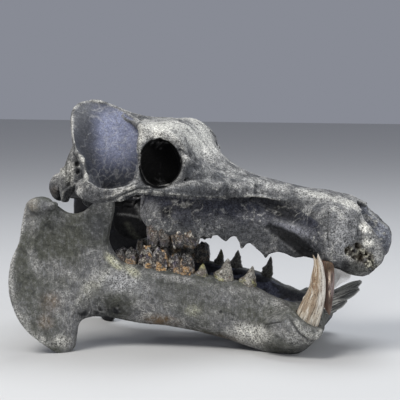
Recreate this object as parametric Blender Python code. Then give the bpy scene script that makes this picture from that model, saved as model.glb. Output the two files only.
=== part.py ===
"""Fossil hippopotamus skull with its lower jaw, life size, resting on the jaw.

Metres, +X towards the muzzle, +Y to the animal's left, +Z up. The origin is on the floor under the
middle of the skull. Each bone is a set of closed lofts, tubes and ellipsoids that a voxel remesh joins
into one skin, which is then hollowed, smoothed and thinned to a light faceted solid.
"""

import math

import bmesh
import bpy
import numpy as np

# ---------------------------------------------------------------------------------- driving dimensions
CROWN_HEIGHT = 0.394  # top of the sagittal crest above the floor
BROW_HEIGHT = 0.361  # roof of the forehead between the eyes
BROW_HALF_WIDTH = 0.130
ARCH_HALF_WIDTH = 0.170  # outer side of the cheek arches
ORBIT_CENTRE = (-0.051, 0.128, 0.303)
ORBIT_LENGTH = 0.059
ORBIT_HEIGHT = 0.071
MUZZLE_TIP_X = 0.288
NASAL_TIP_X = 0.249
CANINE_X = 0.196  # middle of the swelling over the upper canine
PALATE_HEIGHT = 0.196
UPPER_TOOTH_Y = 0.056
LOWER_TOOTH_Y = 0.056
JAW_ANGLE_HALF_WIDTH = 0.168  # outer side of the flared angles of the jaw
JAW_REAR_X = -0.288
SYMPHYSIS_FRONT_X = 0.192
POCKET_GAP = 0.0005  # between a tooth's root and its socket
PART_GAP = 0.0003  # between two neighbouring solids

# ---------------------------------------------------------------------------------------- mesh budgets
VOXEL = 0.0045
CRANIUM_TRIANGLES = 4100
JAW_TRIANGLES = 1550  # each half of the jaw
AROUND = 32
ALONG = 40

BONE = {"colour": (0.20, 0.20, 0.19, 1.0), "roughness": 0.72}
IVORY = {"colour": (0.52, 0.40, 0.27, 1.0), "roughness": 0.45}
ENAMEL = {"colour": (0.36, 0.32, 0.25, 1.0), "roughness": 0.5}


# --------------------------------------------------------------------------------------- shape helpers
def smooth(knots, at):
    """Values at `at` on a smooth curve through rows of (position, value, value, ...)."""
    table = np.array(knots, float)
    pos, val = table[:, 0], table[:, 1:]
    slope = np.gradient(val, pos, axis=0)
    at = np.clip(np.asarray(at, float), pos[0], pos[-1])
    i = np.clip(np.searchsorted(pos, at, side="right") - 1, 0, len(pos) - 2)
    step = (pos[i + 1] - pos[i])[:, None]
    t = ((at - pos[i]) / (pos[i + 1] - pos[i]))[:, None]
    return (
        (2 * t**3 - 3 * t**2 + 1) * val[i]
        + (t**3 - 2 * t**2 + t) * step * slope[i]
        + (3 * t**2 - 2 * t**3) * val[i + 1]
        + (t**3 - t**2) * step * slope[i + 1]
    )


def skin(rings):
    """Closed shell over equal rings of points: quads between rings and a fan over each end."""
    rings = np.asarray(rings, float)
    count, around = rings.shape[:2]
    verts = np.vstack([rings.reshape(-1, 3), rings[0].mean(0), rings[-1].mean(0)])
    j = np.arange(around)
    k = (j + 1) % around
    faces = []
    for i in range(count - 1):
        a, b = i * around, (i + 1) * around
        faces += [tuple(q) for q in np.stack([a + j, a + k, b + k, b + j], axis=1)]
    first, last = count * around, count * around + 1
    top = (count - 1) * around
    faces += [tuple(q) for q in np.stack([np.full(around, first), k, j], axis=1)]
    faces += [tuple(q) for q in np.stack([np.full(around, last), top + j, top + k], axis=1)]
    return verts, faces


def loft(stations, along=ALONG, around=AROUND):
    """Shell along X. A station is x, middle y, half width, level of the widest point, top, bottom,
    and the roundness above and below: 2 is an ellipse, more is boxy, 1 is a ridge."""
    table = np.array(stations, float)
    x = np.linspace(table[0, 0], table[-1, 0], along)
    mid_y, half, level, top, bottom, n_top, n_bottom = smooth(table, x).T[:, :, None]
    angle = np.linspace(0, 2 * math.pi, around, endpoint=False)[None, :]
    c, s = np.cos(angle), np.sin(angle)
    power = 2 / np.where(s > 0, n_top, n_bottom)
    y = mid_y + half * np.sign(c) * np.abs(c) ** power
    z = level + np.where(s > 0, top - level, level - bottom) * np.sign(s) * np.abs(s) ** power
    return skin(np.stack([np.broadcast_to(x[:, None], y.shape), y, z], axis=2))


def tube(stations, side, along=ALONG, around=AROUND // 2):
    """Shell along a smooth path. A station is x, y, z, half width along `side`, half thickness."""
    table = np.array(stations, float)
    run = np.concatenate([[0], np.cumsum(np.linalg.norm(np.diff(table[:, :3], axis=0), axis=1))])
    rows = smooth(np.column_stack([run, table]), np.linspace(0, run[-1], along))
    path, wide, thick = rows[:, :3], rows[:, 3], rows[:, 4]
    ahead = np.gradient(path, axis=0)
    ahead /= np.linalg.norm(ahead, axis=1)[:, None]
    across = np.array(side, float) - ahead * (ahead @ np.array(side, float))[:, None]
    across /= np.linalg.norm(across, axis=1)[:, None]
    third = np.cross(ahead, across)
    angle = np.linspace(0, 2 * math.pi, around, endpoint=False)
    ring = (
        np.cos(angle)[None, :, None] * (across * wide[:, None])[:, None]
        + np.sin(angle)[None, :, None] * (third * thick[:, None])[:, None]
    )
    return skin(path[:, None] + ring)


def ellipsoid(centre, radii, around=24, rows=14):
    """Shell of an ellipsoid with its poles along Z."""
    polar = np.linspace(0.08, math.pi - 0.08, rows)[:, None]
    angle = np.linspace(0, 2 * math.pi, around, endpoint=False)[None, :]
    unit = np.stack(
        [
            np.sin(polar) * np.cos(angle),
            np.sin(polar) * np.sin(angle),
            np.broadcast_to(-np.cos(polar), (rows, around)),
        ],
        axis=2,
    )
    return skin(np.array(centre) + unit * np.array(radii))


def mirrored(shell):
    """The same shell on the other side of the middle plane."""
    verts, faces = shell
    return verts * np.array([1, -1, 1]), [tuple(reversed(f)) for f in faces]


def pair(shell):
    """The shell, made on the left, and its twin on the right."""
    return [shell, mirrored(shell)]


# -------------------------------------------------------------------------------------- object helpers
def material(name, look):
    made = bpy.data.materials.get(name)
    if made:
        return made
    made = bpy.data.materials.new(name)
    made.use_nodes = True
    shader = made.node_tree.nodes["Principled BSDF"]
    shader.inputs["Base Color"].default_value = look["colour"]
    shader.inputs["Roughness"].default_value = look["roughness"]
    shader.inputs["Metallic"].default_value = 0.0
    return made


def new_object(name, shells):
    """One object that holds every shell, each with its faces pointing out."""
    verts, faces, base = [], [], 0
    for v, f in shells:
        verts.append(v)
        faces += [tuple(int(i) + base for i in face) for face in f]
        base += len(v)
    mesh = bpy.data.meshes.new(name)
    mesh.from_pydata(np.vstack(verts).tolist(), [], faces)
    bm = bmesh.new()
    bm.from_mesh(mesh)
    bmesh.ops.recalc_face_normals(bm, faces=bm.faces)
    bm.to_mesh(mesh)
    bm.free()
    made = bpy.data.objects.new(name, mesh)
    bpy.context.scene.collection.objects.link(made)
    return made


def settle(made):
    """Replaces the object's mesh by its modified one."""
    bpy.context.view_layer.update()
    evaluated = made.evaluated_get(bpy.context.evaluated_depsgraph_get())
    mesh = bpy.data.meshes.new_from_object(evaluated)
    made.modifiers.clear()
    made.data = mesh
    return made


def remesh(made, voxel=VOXEL):
    change = made.modifiers.new("join", "REMESH")
    change.mode = "VOXEL"
    change.voxel_size = voxel
    return settle(made)


def soften(made, times, factor=0.5):
    change = made.modifiers.new("soften", "SMOOTH")
    change.factor = factor
    change.iterations = times
    return settle(made)


def thin_out(made, triangles):
    """Collapses edges until about `triangles` are left."""
    made.data.calc_loop_triangles()
    change = made.modifiers.new("thin_out", "DECIMATE")
    change.ratio = triangles / len(made.data.loop_triangles)
    change.use_collapse_triangulate = True
    return settle(made)


def boolean(made, other, operation):
    change = made.modifiers.new(operation, "BOOLEAN")
    change.operation = operation
    change.solver = "EXACT"
    change.object = other
    return settle(made)


def discard(*objects):
    for o in objects:
        bpy.data.objects.remove(o)


def hollow(made, shells):
    """Cuts the joined shells out of the object."""
    cutter = remesh(new_object("cutter", shells), VOXEL * 0.8)
    boolean(made, cutter, "DIFFERENCE")
    discard(cutter)
    return made


def block(low, high):
    """Box between two corners."""
    made = bpy.data.objects.new("block", bpy.data.meshes.new("block"))
    bpy.context.scene.collection.objects.link(made)
    bm = bmesh.new()
    bmesh.ops.create_cube(bm, size=1.0)
    low, high = np.array(low), np.array(high)
    for v in bm.verts:
        v.co = (low + high) / 2 + np.array(v.co) * (high - low)
    bm.to_mesh(made.data)
    bm.free()
    return made


def part_from(whole, name, low, high):
    """Splits the block's share off as its own object, and leaves a thin gap round it."""
    share = bpy.data.objects.new(name, whole.data.copy())
    bpy.context.scene.collection.objects.link(share)
    inner = block(low, high)
    outer = block(np.array(low) - PART_GAP, np.array(high) + PART_GAP)
    boolean(share, inner, "INTERSECT")
    boolean(whole, outer, "DIFFERENCE")
    discard(inner, outer)
    return share


def keep_largest(made):
    """Deletes crumbs that a cut has left, and joins points that it has doubled."""
    bm = bmesh.new()
    bm.from_mesh(made.data)
    bmesh.ops.remove_doubles(bm, verts=bm.verts, dist=2e-5)
    bmesh.ops.triangulate(bm, faces=bm.faces)
    left, groups = set(bm.verts), []
    while left:
        group, front = set(), [left.pop()]
        while front:
            v = front.pop()
            group.add(v)
            for e in v.link_edges:
                w = e.other_vert(v)
                if w in left:
                    left.remove(w)
                    front.append(w)
        groups.append(group)
    groups.sort(key=len)
    bmesh.ops.delete(bm, geom=[v for g in groups[:-1] for v in g], context="VERTS")
    bmesh.ops.recalc_face_normals(bm, faces=bm.faces)
    bm.to_mesh(made.data)
    bm.free()
    return made


def finish(made, look_name, look):
    made.data.materials.clear()
    made.data.materials.append(material(look_name, look))
    made.data.shade_smooth()
    made.data.set_sharp_from_angle(angle=math.radians(40))


# --------------------------------------------------------------------------------------------- cranium
def braincase():
    """Narrow box of the brain with a tent-shaped roof that runs up into the sagittal crest."""
    return [
        loft(
            [
                (-0.206, 0, 0.062, 0.290, 0.380, 0.232, 1.2, 2.2),
                (-0.180, 0, 0.060, 0.292, 0.386, 0.230, 1.15, 2.2),
                (-0.150, 0, 0.055, 0.296, 0.376, 0.230, 1.2, 2.2),
                (-0.120, 0, 0.047, 0.300, 0.366, 0.228, 1.5, 2.2),
                (-0.080, 0, 0.043, 0.300, 0.357, 0.222, 2.2, 2.2),
                (-0.030, 0, 0.056, 0.300, 0.345, 0.214, 2.6, 2.4),
                (0.010, 0, 0.062, 0.270, 0.296, 0.206, 2.6, 2.4),
            ]
        )
    ]


def crests():
    """Sagittal crest over the brain, the nuchal crest that frames the temple, and the temporal line."""
    sagittal = tube(
        [
            (-0.214, 0, 0.376, 0.012, 0.012),
            (-0.208, 0, 0.381, 0.010, 0.010),
            (-0.195, 0, CROWN_HEIGHT - 0.009, 0.009, 0.009),
            (-0.168, 0, 0.377, 0.007, 0.009),
            (-0.134, 0, 0.363, 0.010, 0.009),
            (-0.108, 0, 0.354, 0.018, 0.010),
        ],
        (0, 1, 0),
    )
    nuchal = tube(
        [
            (-0.208, 0.004, 0.380, 0.013, 0.008),
            (-0.216, 0.024, 0.369, 0.016, 0.007),
            (-0.216, 0.040, 0.353, 0.018, 0.006),
            (-0.209, 0.060, 0.338, 0.018, 0.006),
            (-0.201, 0.080, 0.325, 0.017, 0.006),
            (-0.192, 0.098, 0.314, 0.014, 0.006),
            (-0.180, 0.120, 0.303, 0.011, 0.006),
            (-0.168, 0.138, 0.292, 0.009, 0.007),
            (-0.163, 0.147, 0.276, 0.009, 0.007),
            (-0.160, 0.150, 0.262, 0.009, 0.008),
        ],
        (0, 0.6, 1),
    )
    line = tube(
        [
            (-0.140, 0.008, 0.366, 0.007, 0.007),
            (-0.118, 0.030, 0.358, 0.007, 0.007),
            (-0.100, 0.065, 0.353, 0.008, 0.007),
            (-0.088, 0.100, 0.350, 0.009, 0.007),
        ],
        (0, 0, 1),
    )
    return [sagittal] + pair(nuchal) + pair(line)


def occiput():
    """Back wall of the skull, its two condyles and the blunt processes beside them."""
    wall = loft(
        [
            (-0.248, 0, 0.034, 0.258, 0.270, 0.238, 2.0, 2.0),
            (-0.238, 0, 0.062, 0.262, 0.283, 0.234, 2.0, 2.2),
            (-0.224, 0, 0.086, 0.272, 0.304, 0.233, 1.8, 2.4),
            (-0.212, 0, 0.099, 0.288, 0.346, 0.232, 1.4, 2.4),
            (-0.200, 0, 0.108, 0.290, 0.374, 0.232, 1.3, 2.4),
            (-0.186, 0, 0.098, 0.288, 0.372, 0.234, 1.2, 2.2),
        ],
        along=20,
    )
    base = loft(
        [
            (-0.246, 0, 0.034, 0.250, 0.268, 0.232, 2, 2),
            (-0.210, 0, 0.036, 0.245, 0.275, 0.226, 2, 2),
            (-0.150, 0, 0.030, 0.240, 0.270, 0.216, 2, 2),
            (-0.090, 0, 0.030, 0.235, 0.270, 0.208, 2, 2),
        ],
        along=20,
    )
    condyle = ellipsoid((-0.246, 0.027, 0.250), (0.017, 0.020, 0.023))
    process = tube(
        [
            (-0.212, 0.084, 0.285, 0.020, 0.014),
            (-0.217, 0.084, 0.262, 0.016, 0.012),
            (-0.220, 0.080, 0.244, 0.012, 0.009),
            (-0.222, 0.077, 0.232, 0.006, 0.006),
        ],
        (0, 1, 0),
        along=16,
    )
    bulla = ellipsoid((-0.184, 0.052, 0.236), (0.018, 0.014, 0.016))
    return [wall, base] + pair(condyle) + pair(process) + pair(bulla)


def cheek_arch():
    """Root of the arch at the ear, the arch itself, and the cheekbone under the eye."""
    root = tube(
        [
            (-0.182, 0.040, 0.262, 0.026, 0.018),
            (-0.178, 0.080, 0.262, 0.022, 0.018),
            (-0.174, 0.116, 0.262, 0.018, 0.017),
            (-0.168, 0.142, 0.259, 0.014, 0.013),
        ],
        (1, 0, 0),
        along=18,
    )
    arch = tube(
        [
            (-0.178, 0.132, 0.257, 0.012, 0.009),
            (-0.158, 0.150, 0.254, 0.014, 0.009),
            (-0.134, 0.159, 0.254, 0.013, 0.008),
            (-0.111, ARCH_HALF_WIDTH - 0.009, 0.257, 0.0115, 0.008),
            (-0.093, 0.160, 0.265, 0.0105, 0.008),
            (-0.078, 0.156, 0.267, 0.010, 0.008),
            (-0.060, 0.149, 0.2625, 0.0065, 0.008),
            (-0.042, 0.140, 0.2605, 0.0075, 0.009),
            (-0.022, 0.125, 0.2605, 0.012, 0.012),
            (0.000, 0.106, 0.260, 0.015, 0.014),
            (0.034, 0.078, 0.256, 0.015, 0.014),
        ],
        (0, 0, 1),
        around=20,
    )
    lower_process = tube(
        [
            (-0.080, 0.153, 0.274, 0.011, 0.007),
            (-0.081, 0.151, 0.287, 0.006, 0.0055),
            (-0.0815, 0.149, 0.300, 0.0035, 0.0035),
        ],
        (1, 0, 0),
        along=10,
    )
    return pair(root) + pair(arch) + pair(lower_process)


def forehead():
    """Flat roof between the eyes, the rims round them, and the cheeks that widen below."""
    shield = loft(
        [
            (-0.106, 0, 0.060, 0.350, 0.362, 0.338, 2.5, 2.5),
            (-0.092, 0, 0.106, 0.347, BROW_HEIGHT, 0.335, 3.0, 2.6),
            (-0.075, 0, 0.124, 0.345, 0.360, 0.332, 3.2, 2.6),
            (-0.050, 0, BROW_HALF_WIDTH, 0.342, 0.358, 0.326, 3.2, 2.6),
            (-0.030, 0, 0.128, 0.330, 0.347, 0.262, 3.0, 2.6),
            (-0.018, 0, 0.124, 0.312, 0.332, 0.250, 2.6, 3.0),
            (-0.006, 0, 0.117, 0.284, 0.312, 0.247, 2.4, 3.0),
            (0.009, 0, 0.106, 0.268, 0.296, 0.245, 2.2, 3.0),
            (0.040, 0, 0.082, 0.258, 0.281, 0.242, 2.2, 3.0),
            (0.080, 0, 0.059, 0.248, 0.270, 0.225, 2.4, 2.8),
        ]
    )
    upper_process = tube(
        [
            (-0.074, 0.118, 0.347, 0.016, 0.010),
            (-0.078, 0.130, 0.337, 0.010, 0.008),
            (-0.081, 0.139, 0.325, 0.006, 0.006),
            (-0.0825, 0.144, 0.316, 0.0035, 0.0035),
        ],
        (1, 0, 0),
        along=12,
    )
    x, y, z = ORBIT_CENTRE
    rim = tube(
        [
            (
                x + (ORBIT_LENGTH / 2 + 0.006) * math.cos(turn),
                y - 0.007 * math.cos(turn) - 0.006 * math.sin(turn),
                z + (ORBIT_HEIGHT / 2 + 0.005) * math.sin(turn),
                0.008,
                0.006,
            )
            for turn in np.radians([115, 90, 60, 30, 0, -30, -60])
        ],
        (0, 1, 0),
        along=24,
    )
    return [shield] + pair(upper_process) + pair(rim)


def snout():
    """Long muzzle: narrow behind the canines, flaring over them, with a flat nasal roof."""
    barrel = loft(
        [
            (0.000, 0, 0.078, 0.262, 0.318, 0.196, 2.6, 3.0),
            (0.031, 0, 0.068, 0.240, 0.292, 0.190, 2.6, 3.0),
            (0.064, 0, 0.057, 0.226, 0.2765, 0.186, 2.6, 3.0),
            (0.105, 0, 0.047, 0.215, 0.266, 0.180, 2.6, 3.0),
            (0.145, 0, 0.048, 0.205, 0.257, 0.172, 2.6, 3.0),
            (0.193, 0, 0.062, 0.200, 0.250, 0.165, 2.6, 3.0),
            (0.225, 0, 0.066, 0.200, 0.241, 0.160, 2.6, 3.0),
            (NASAL_TIP_X, 0, 0.058, 0.205, 0.229, 0.165, 2.6, 3.0),
        ]
    )
    flange = loft(
        [
            (0.118, 0.050, 0.008, 0.186, 0.200, 0.172, 2, 2),
            (0.150, 0.060, 0.022, 0.192, 0.222, 0.164, 2, 2),
            (0.175, 0.068, 0.030, 0.194, 0.235, 0.159, 2, 2.2),
            (CANINE_X, 0.071, 0.034, 0.194, 0.240, 0.154, 2, 2.4),
            (0.218, 0.069, 0.032, 0.188, 0.238, 0.150, 2, 2.4),
            (0.245, 0.061, 0.026, 0.184, 0.226, 0.138, 2, 2.4),
        ],
        along=30,
    )
    premaxilla = loft(
        [
            (0.205, 0.050, 0.026, 0.180, 0.215, 0.142, 2.2, 2.4),
            (0.224, 0.052, 0.028, 0.172, 0.222, 0.130, 2.2, 2.6),
            (0.245, 0.053, 0.029, 0.168, 0.219, 0.125, 2.2, 2.6),
            (0.262, 0.053, 0.028, 0.166, 0.207, 0.125, 2.2, 2.6),
            (0.276, 0.050, 0.025, 0.164, 0.190, 0.134, 2.2, 2.4),
            (MUZZLE_TIP_X, 0.046, 0.015, 0.166, 0.176, 0.152, 2, 2),
        ],
        along=26,
    )
    bridge = loft(
        [
            (0.200, 0, 0.050, 0.150, 0.166, 0.146, 2, 2),
            (0.262, 0, 0.040, 0.146, 0.164, 0.134, 2, 2),
        ],
        along=8,
    )
    return [barrel, bridge] + pair(flange) + pair(premaxilla)


def tooth_bearers():
    """Side walls that carry the upper cheek teeth, and the palate between them."""
    y = UPPER_TOOTH_Y
    wall = loft(
        [
            (-0.103, y, 0.010, 0.220, 0.240, 0.200, 2, 2),
            (-0.092, y, 0.018, 0.212, 0.250, 0.184, 2.4, 2.6),
            (-0.060, y, 0.024, 0.208, 0.262, 0.176, 2.4, 3.0),
            (0.000, y - 0.002, 0.023, 0.206, 0.256, 0.177, 2.4, 3.0),
            (0.036, y - 0.007, 0.019, 0.200, 0.246, 0.180, 2.4, 3.0),
            (0.062, y - 0.011, 0.016, 0.195, 0.235, 0.168, 2.4, 2.6),
            (0.092, y - 0.014, 0.014, 0.190, 0.225, 0.157, 2.4, 2.6),
            (0.130, y - 0.012, 0.014, 0.186, 0.215, 0.161, 2.4, 2.6),
            (0.160, y - 0.002, 0.018, 0.184, 0.215, 0.157, 2.4, 2.6),
        ]
    )
    palate = loft(
        [
            (-0.076, 0, 0.048, 0.225, 0.262, PALATE_HEIGHT, 2.4, 2.4),
            (0.050, 0, 0.052, 0.215, 0.250, 0.190, 2.4, 2.4),
            (0.200, 0, 0.055, 0.190, 0.220, 0.164, 2.4, 2.4),
        ],
        along=24,
    )
    pterygoid = tube(
        [
            (-0.080, 0.036, 0.226, 0.024, 0.006),
            (-0.103, 0.036, 0.208, 0.034, 0.006),
            (-0.127, 0.035, 0.202, 0.033, 0.006),
            (-0.145, 0.034, 0.214, 0.018, 0.005),
        ],
        (0, 0, 1),
        along=12,
    )
    return [palate] + pair(wall) + pair(pterygoid)


def molar(x, y, neck, crown, length, width):
    """Cheek tooth of two lobes, each with an inner and an outer cusp."""
    shells = [ellipsoid((x, y, neck), (length * 0.48, width * 0.50, abs(crown - neck) * 0.8))]
    for dx in (-0.25, 0.25):
        for dy in (-0.22, 0.22):
            shells.append(
                ellipsoid(
                    (x + dx * length, y + dy * width, (neck + crown) / 2),
                    (length * 0.25, width * 0.28, abs(crown - neck) * 0.5),
                    around=12,
                    rows=8,
                )
            )
    return shells


def premolar(x, y, neck, crown, length, width):
    """Cheek tooth with one leaning, pointed cusp."""
    return [
        tube(
            [
                (x, y, neck - 0.3 * (crown - neck), length * 0.44, width * 0.46),
                (x, y, neck + 0.2 * (crown - neck), length * 0.42, width * 0.44),
                (x + 0.05 * length, y, neck + 0.6 * (crown - neck), length * 0.24, width * 0.30),
                (x + 0.12 * length, y, crown, length * 0.06, width * 0.10),
            ],
            (1, 0, 0),
            along=10,
        )
    ]


def upper_teeth():
    """Two worn molars stand on each side; the sockets in front of them are empty."""
    y = UPPER_TOOTH_Y
    shells = molar(-0.071, y, 0.182, 0.1610, 0.036, 0.036) + molar(-0.031, y, 0.182, 0.1615, 0.042, 0.038)
    return shells + [mirrored(s) for s in shells]


def eye_sockets():
    """Deep round hollow that narrows inwards and opens behind into the temple."""
    x, y, z = ORBIT_CENTRE
    a, b = ORBIT_LENGTH / 2, ORBIT_HEIGHT / 2
    return pair(
        tube(
            [
                (x + 0.004, y + 0.045, z + 0.001, a * 1.10, b * 1.06),
                (x, y + 0.010, z, a, b),
                (x - 0.004, y - 0.030, z - 0.004, a * 0.98, b * 0.92),
                (x - 0.016, y - 0.066, z - 0.010, a * 0.7, b * 0.6),
            ],
            (1, 0, 0),
            along=18,
            around=28,
        )
    )


def cranium_hollows():
    """Nostril, slot between the muzzle tips, throat opening, brain opening, ear and tooth sockets."""
    nostril = loft(
        [
            (0.140, 0, 0.014, 0.215, 0.228, 0.204, 2, 2),
            (0.190, 0, 0.030, 0.208, 0.232, 0.186, 2, 2.4),
            (0.235, 0, 0.034, 0.204, 0.233, 0.174, 2.2, 2.4),
            (0.262, 0, 0.036, 0.206, 0.262, 0.168, 2.2, 2.4),
            (0.300, 0, 0.040, 0.206, 0.280, 0.160, 2.2, 2.4),
        ],
        along=24,
    )
    slot = loft(
        [
            (0.246, 0, 0.004, 0.150, 0.19, 0.110, 2, 2),
            (0.268, 0, 0.013, 0.150, 0.19, 0.100, 3, 3),
            (0.300, 0, 0.022, 0.150, 0.20, 0.100, 3, 3),
        ],
        along=10,
    )
    throat = loft(
        [
            (-0.120, 0, 0.024, 0.205, 0.226, 0.180, 2.4, 2.4),
            (-0.080, 0, 0.023, 0.205, 0.224, 0.180, 2.4, 2.4),
            (-0.052, 0, 0.016, 0.205, 0.218, 0.190, 2, 2),
        ],
        along=12,
    )
    brain_opening = ellipsoid((-0.252, 0, 0.268), (0.034, 0.016, 0.014))
    ear = ellipsoid((-0.190, 0.128, 0.286), (0.007, 0.026, 0.010), around=12, rows=8)
    sockets = [
        ellipsoid((x, UPPER_TOOTH_Y - drop, z), (0.0085, 0.0095, 0.013), around=12, rows=8)
        for x, drop, z in (
            (0.004, 0.000, 0.172),
            (0.024, 0.002, 0.168),
            (0.050, 0.006, 0.160),
            (0.074, 0.010, 0.154),
        )
    ]
    canine = ellipsoid((0.196, 0.078, 0.150), (0.020, 0.018, 0.022))
    front_tooth = ellipsoid((0.262, 0.056, 0.136), (0.013, 0.012, 0.016), around=16, rows=10)
    shells = [nostril, slot, throat, brain_opening]
    for shell in (ear, canine, front_tooth, *sockets):
        shells += pair(shell)
    return shells + eye_sockets()


def make_cranium():
    shells = braincase() + crests() + occiput() + cheek_arch() + forehead() + snout()
    whole = remesh(new_object("cranium", shells + tooth_bearers() + upper_teeth()))
    hollow(whole, cranium_hollows())
    remesh(whole)
    soften(whole, 3)
    thin_out(whole, CRANIUM_TRIANGLES)
    keep_largest(whole)
    far = 0.5
    muzzle = part_from(whole, "muzzle", (0.050, -far, 0.0), (far, far, far))
    arches = [
        part_from(whole, "zygomatic_arch_left", (-0.166, 0.092, 0.2), (-0.012, far, 0.307)),
        part_from(whole, "zygomatic_arch_right", (-0.166, -far, 0.2), (-0.012, -0.092, 0.307)),
    ]
    for made in (whole, muzzle, *arches):
        finish(keep_largest(made), "fossil_bone", BONE)


# ---------------------------------------------------------------------------------------------- jaw
def jaw_plate_side(x, z):
    """How far out from the middle plane the rear plate of the jaw stands at a point of its outline.
    The plate leans outwards towards its lower rear edge, where the angle of the jaw flares."""
    rear = np.clip((-0.135 - x) / 0.150, 0, 1)
    low = np.clip((0.235 - z) / 0.200, 0, 1)
    flare = JAW_ANGLE_HALF_WIDTH - 0.010 - 0.094 - 0.034
    return 0.094 + 0.044 * rear**1.2 + flare * rear * low**1.2 * 1.5 - 0.012 * (1 - rear) * low


def jaw_plate():
    """Broad rear plate: condyle at the top, coronoid hook in front, great rounded angle behind."""
    outline = np.array(
        [
            (-0.266, 0.236),
            (-0.272, 0.205),
            (-0.275, 0.176),
            (-0.284, 0.148),
            (JAW_REAR_X + 0.001, 0.119),
            (-0.283, 0.090),
            (-0.272, 0.061),
            (-0.253, 0.032),
            (-0.231, 0.010),
            (-0.211, -0.003),
            (-0.197, 0.004),
            (-0.193, 0.024),
            (-0.189, 0.044),
            (-0.174, 0.053),
            (-0.148, 0.052),
            (-0.118, 0.052),
            (-0.104, 0.080),
            (-0.112, 0.120),
            (-0.136, 0.150),
            (-0.146, 0.175),
            (-0.141, 0.201),
            (-0.137, 0.222),
            (-0.138, 0.238),
            (-0.152, 0.241),
            (-0.166, 0.235),
            (-0.180, 0.222),
            (-0.196, 0.217),
            (-0.211, 0.221),
            (-0.228, 0.234),
            (-0.248, 0.241),
        ]
    )
    turns = len(outline)
    closed = np.vstack([outline[-2:], outline, outline[:2]])
    knots = np.column_stack([np.arange(-2, turns + 2), closed])
    edge = smooth(knots, np.linspace(0, turns, 72, endpoint=False))
    centre = np.array([-0.200, 0.135])
    shares = np.concatenate([np.linspace(0.03, 0.88, 9), [0.95, 1.0]])
    rings = []
    for side in (-1, 1):
        for share in shares if side < 0 else shares[::-1]:
            flat = centre + (edge - centre) * share
            middle = jaw_plate_side(flat[:, 0], flat[:, 1])
            half = 0.0085 + 0.0035 * share**6
            if share == 1.0:
                half *= 0.45
            elif share == 0.95:
                half *= 0.85
            rings.append(np.column_stack([flat[:, 0], middle + side * half, flat[:, 1]]))
    return [skin(rings)]


def jaw_body():
    """Deep bar of the jaw from under the last molar to the chin, and its joint knob at the back."""
    bar = loft(
        [
            (-0.172, 0.100, 0.010, 0.100, 0.140, 0.060, 2.2, 2.2),
            (-0.142, 0.086, 0.017, 0.100, 0.142, 0.049, 2.4, 2.2),
            (-0.109, 0.074, 0.022, 0.094, 0.136, 0.041, 3.0, 2.2),
            (-0.060, 0.066, 0.023, 0.084, 0.129, 0.036, 3.0, 2.2),
            (-0.010, 0.061, 0.022, 0.076, 0.121, 0.028, 3.0, 2.2),
            (0.037, 0.058, 0.021, 0.070, 0.114, 0.017, 3.0, 2.4),
            (0.080, 0.056, 0.022, 0.056, 0.104, 0.004, 2.6, 2.6),
            (0.115, 0.056, 0.026, 0.046, 0.086, -0.003, 2.4, 2.8),
            (0.150, 0.058, 0.030, 0.044, 0.078, -0.001, 2.4, 2.6),
            (0.176, 0.060, 0.028, 0.050, 0.074, 0.016, 2.4, 2.4),
            (SYMPHYSIS_FRONT_X, 0.058, 0.022, 0.056, 0.072, 0.036, 2.2, 2.2),
        ]
    )
    chin = loft(
        [
            (0.050, 0, 0.020, 0.046, 0.060, 0.034, 2, 2),
            (0.075, 0, 0.052, 0.042, 0.062, 0.018, 2.4, 2.4),
            (0.115, 0, 0.062, 0.040, 0.064, 0.004, 2.6, 2.6),
            (0.150, 0, 0.066, 0.044, 0.068, 0.004, 2.6, 2.6),
            (0.178, 0, 0.064, 0.052, 0.078, 0.022, 2.6, 2.6),
            (0.192, 0, 0.058, 0.066, 0.086, 0.044, 2.4, 2.4),
            (0.201, 0, 0.046, 0.076, 0.088, 0.062, 2.2, 2.2),
        ],
        along=24,
    )
    socket = tube(
        [
            (0.104, 0.070, 0.040, 0.022, 0.024),
            (0.128, 0.082, 0.040, 0.029, 0.028),
            (0.150, 0.092, 0.045, 0.032, 0.027),
            (0.166, 0.099, 0.054, 0.031, 0.024),
            (0.172, 0.101, 0.062, 0.026, 0.021),
        ],
        (1, 0, -0.3),
        along=20,
        around=24,
    )
    condyle = ellipsoid((-0.246, 0.130, 0.231), (0.020, 0.034, 0.0145))
    neck = tube(
        [
            (-0.257, 0.130, 0.180, 0.014, 0.011),
            (-0.253, 0.130, 0.205, 0.017, 0.013),
            (-0.247, 0.130, 0.226, 0.018, 0.015),
        ],
        (1, 0, 0),
        along=10,
    )
    return [bar, chin, mirrored(bar), socket, condyle, neck]


def lower_teeth():
    """Three molars, then three pointed premolars with gaps where others are lost."""
    y = LOWER_TOOTH_Y + 0.010
    shells = molar(-0.124, y + 0.004, 0.138, 0.1620, 0.036, 0.028)
    shells += molar(-0.0785, y, 0.131, 0.1595, 0.047, 0.030)
    shells += molar(-0.035, y - 0.003, 0.126, 0.1505, 0.038, 0.028)
    shells += premolar(-0.002, y - 0.005, 0.117, 0.137, 0.022, 0.016)
    shells += premolar(0.032, y - 0.007, 0.112, 0.147, 0.036, 0.018)
    shells += premolar(0.070, y - 0.009, 0.106, 0.135, 0.030, 0.016)
    return shells


def tusk_stations(grow=0.0):
    """The lower canine: a flattened blade that rises out of its socket and curls gently back."""
    return [
        (0.150, 0.086, 0.030, 0.0175 + grow, 0.0110 + grow),
        (0.165, 0.094, 0.050, 0.0190 + grow, 0.0120 + grow),
        (0.173, 0.099, 0.072, 0.0190 + grow, 0.0120 + grow),
        (0.181, 0.103, 0.090, 0.0175 + grow, 0.0115 + grow),
        (0.1865, 0.106, 0.110, 0.0145 + grow, 0.0105 + grow),
        (0.187, 0.109, 0.131, 0.0118 + grow, 0.0090 + grow),
        (0.184, 0.111, 0.152, 0.0078 + grow, 0.0070 + grow),
        (0.182, 0.112, 0.166, 0.0036 + grow, 0.0036 + grow),
    ]


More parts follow.
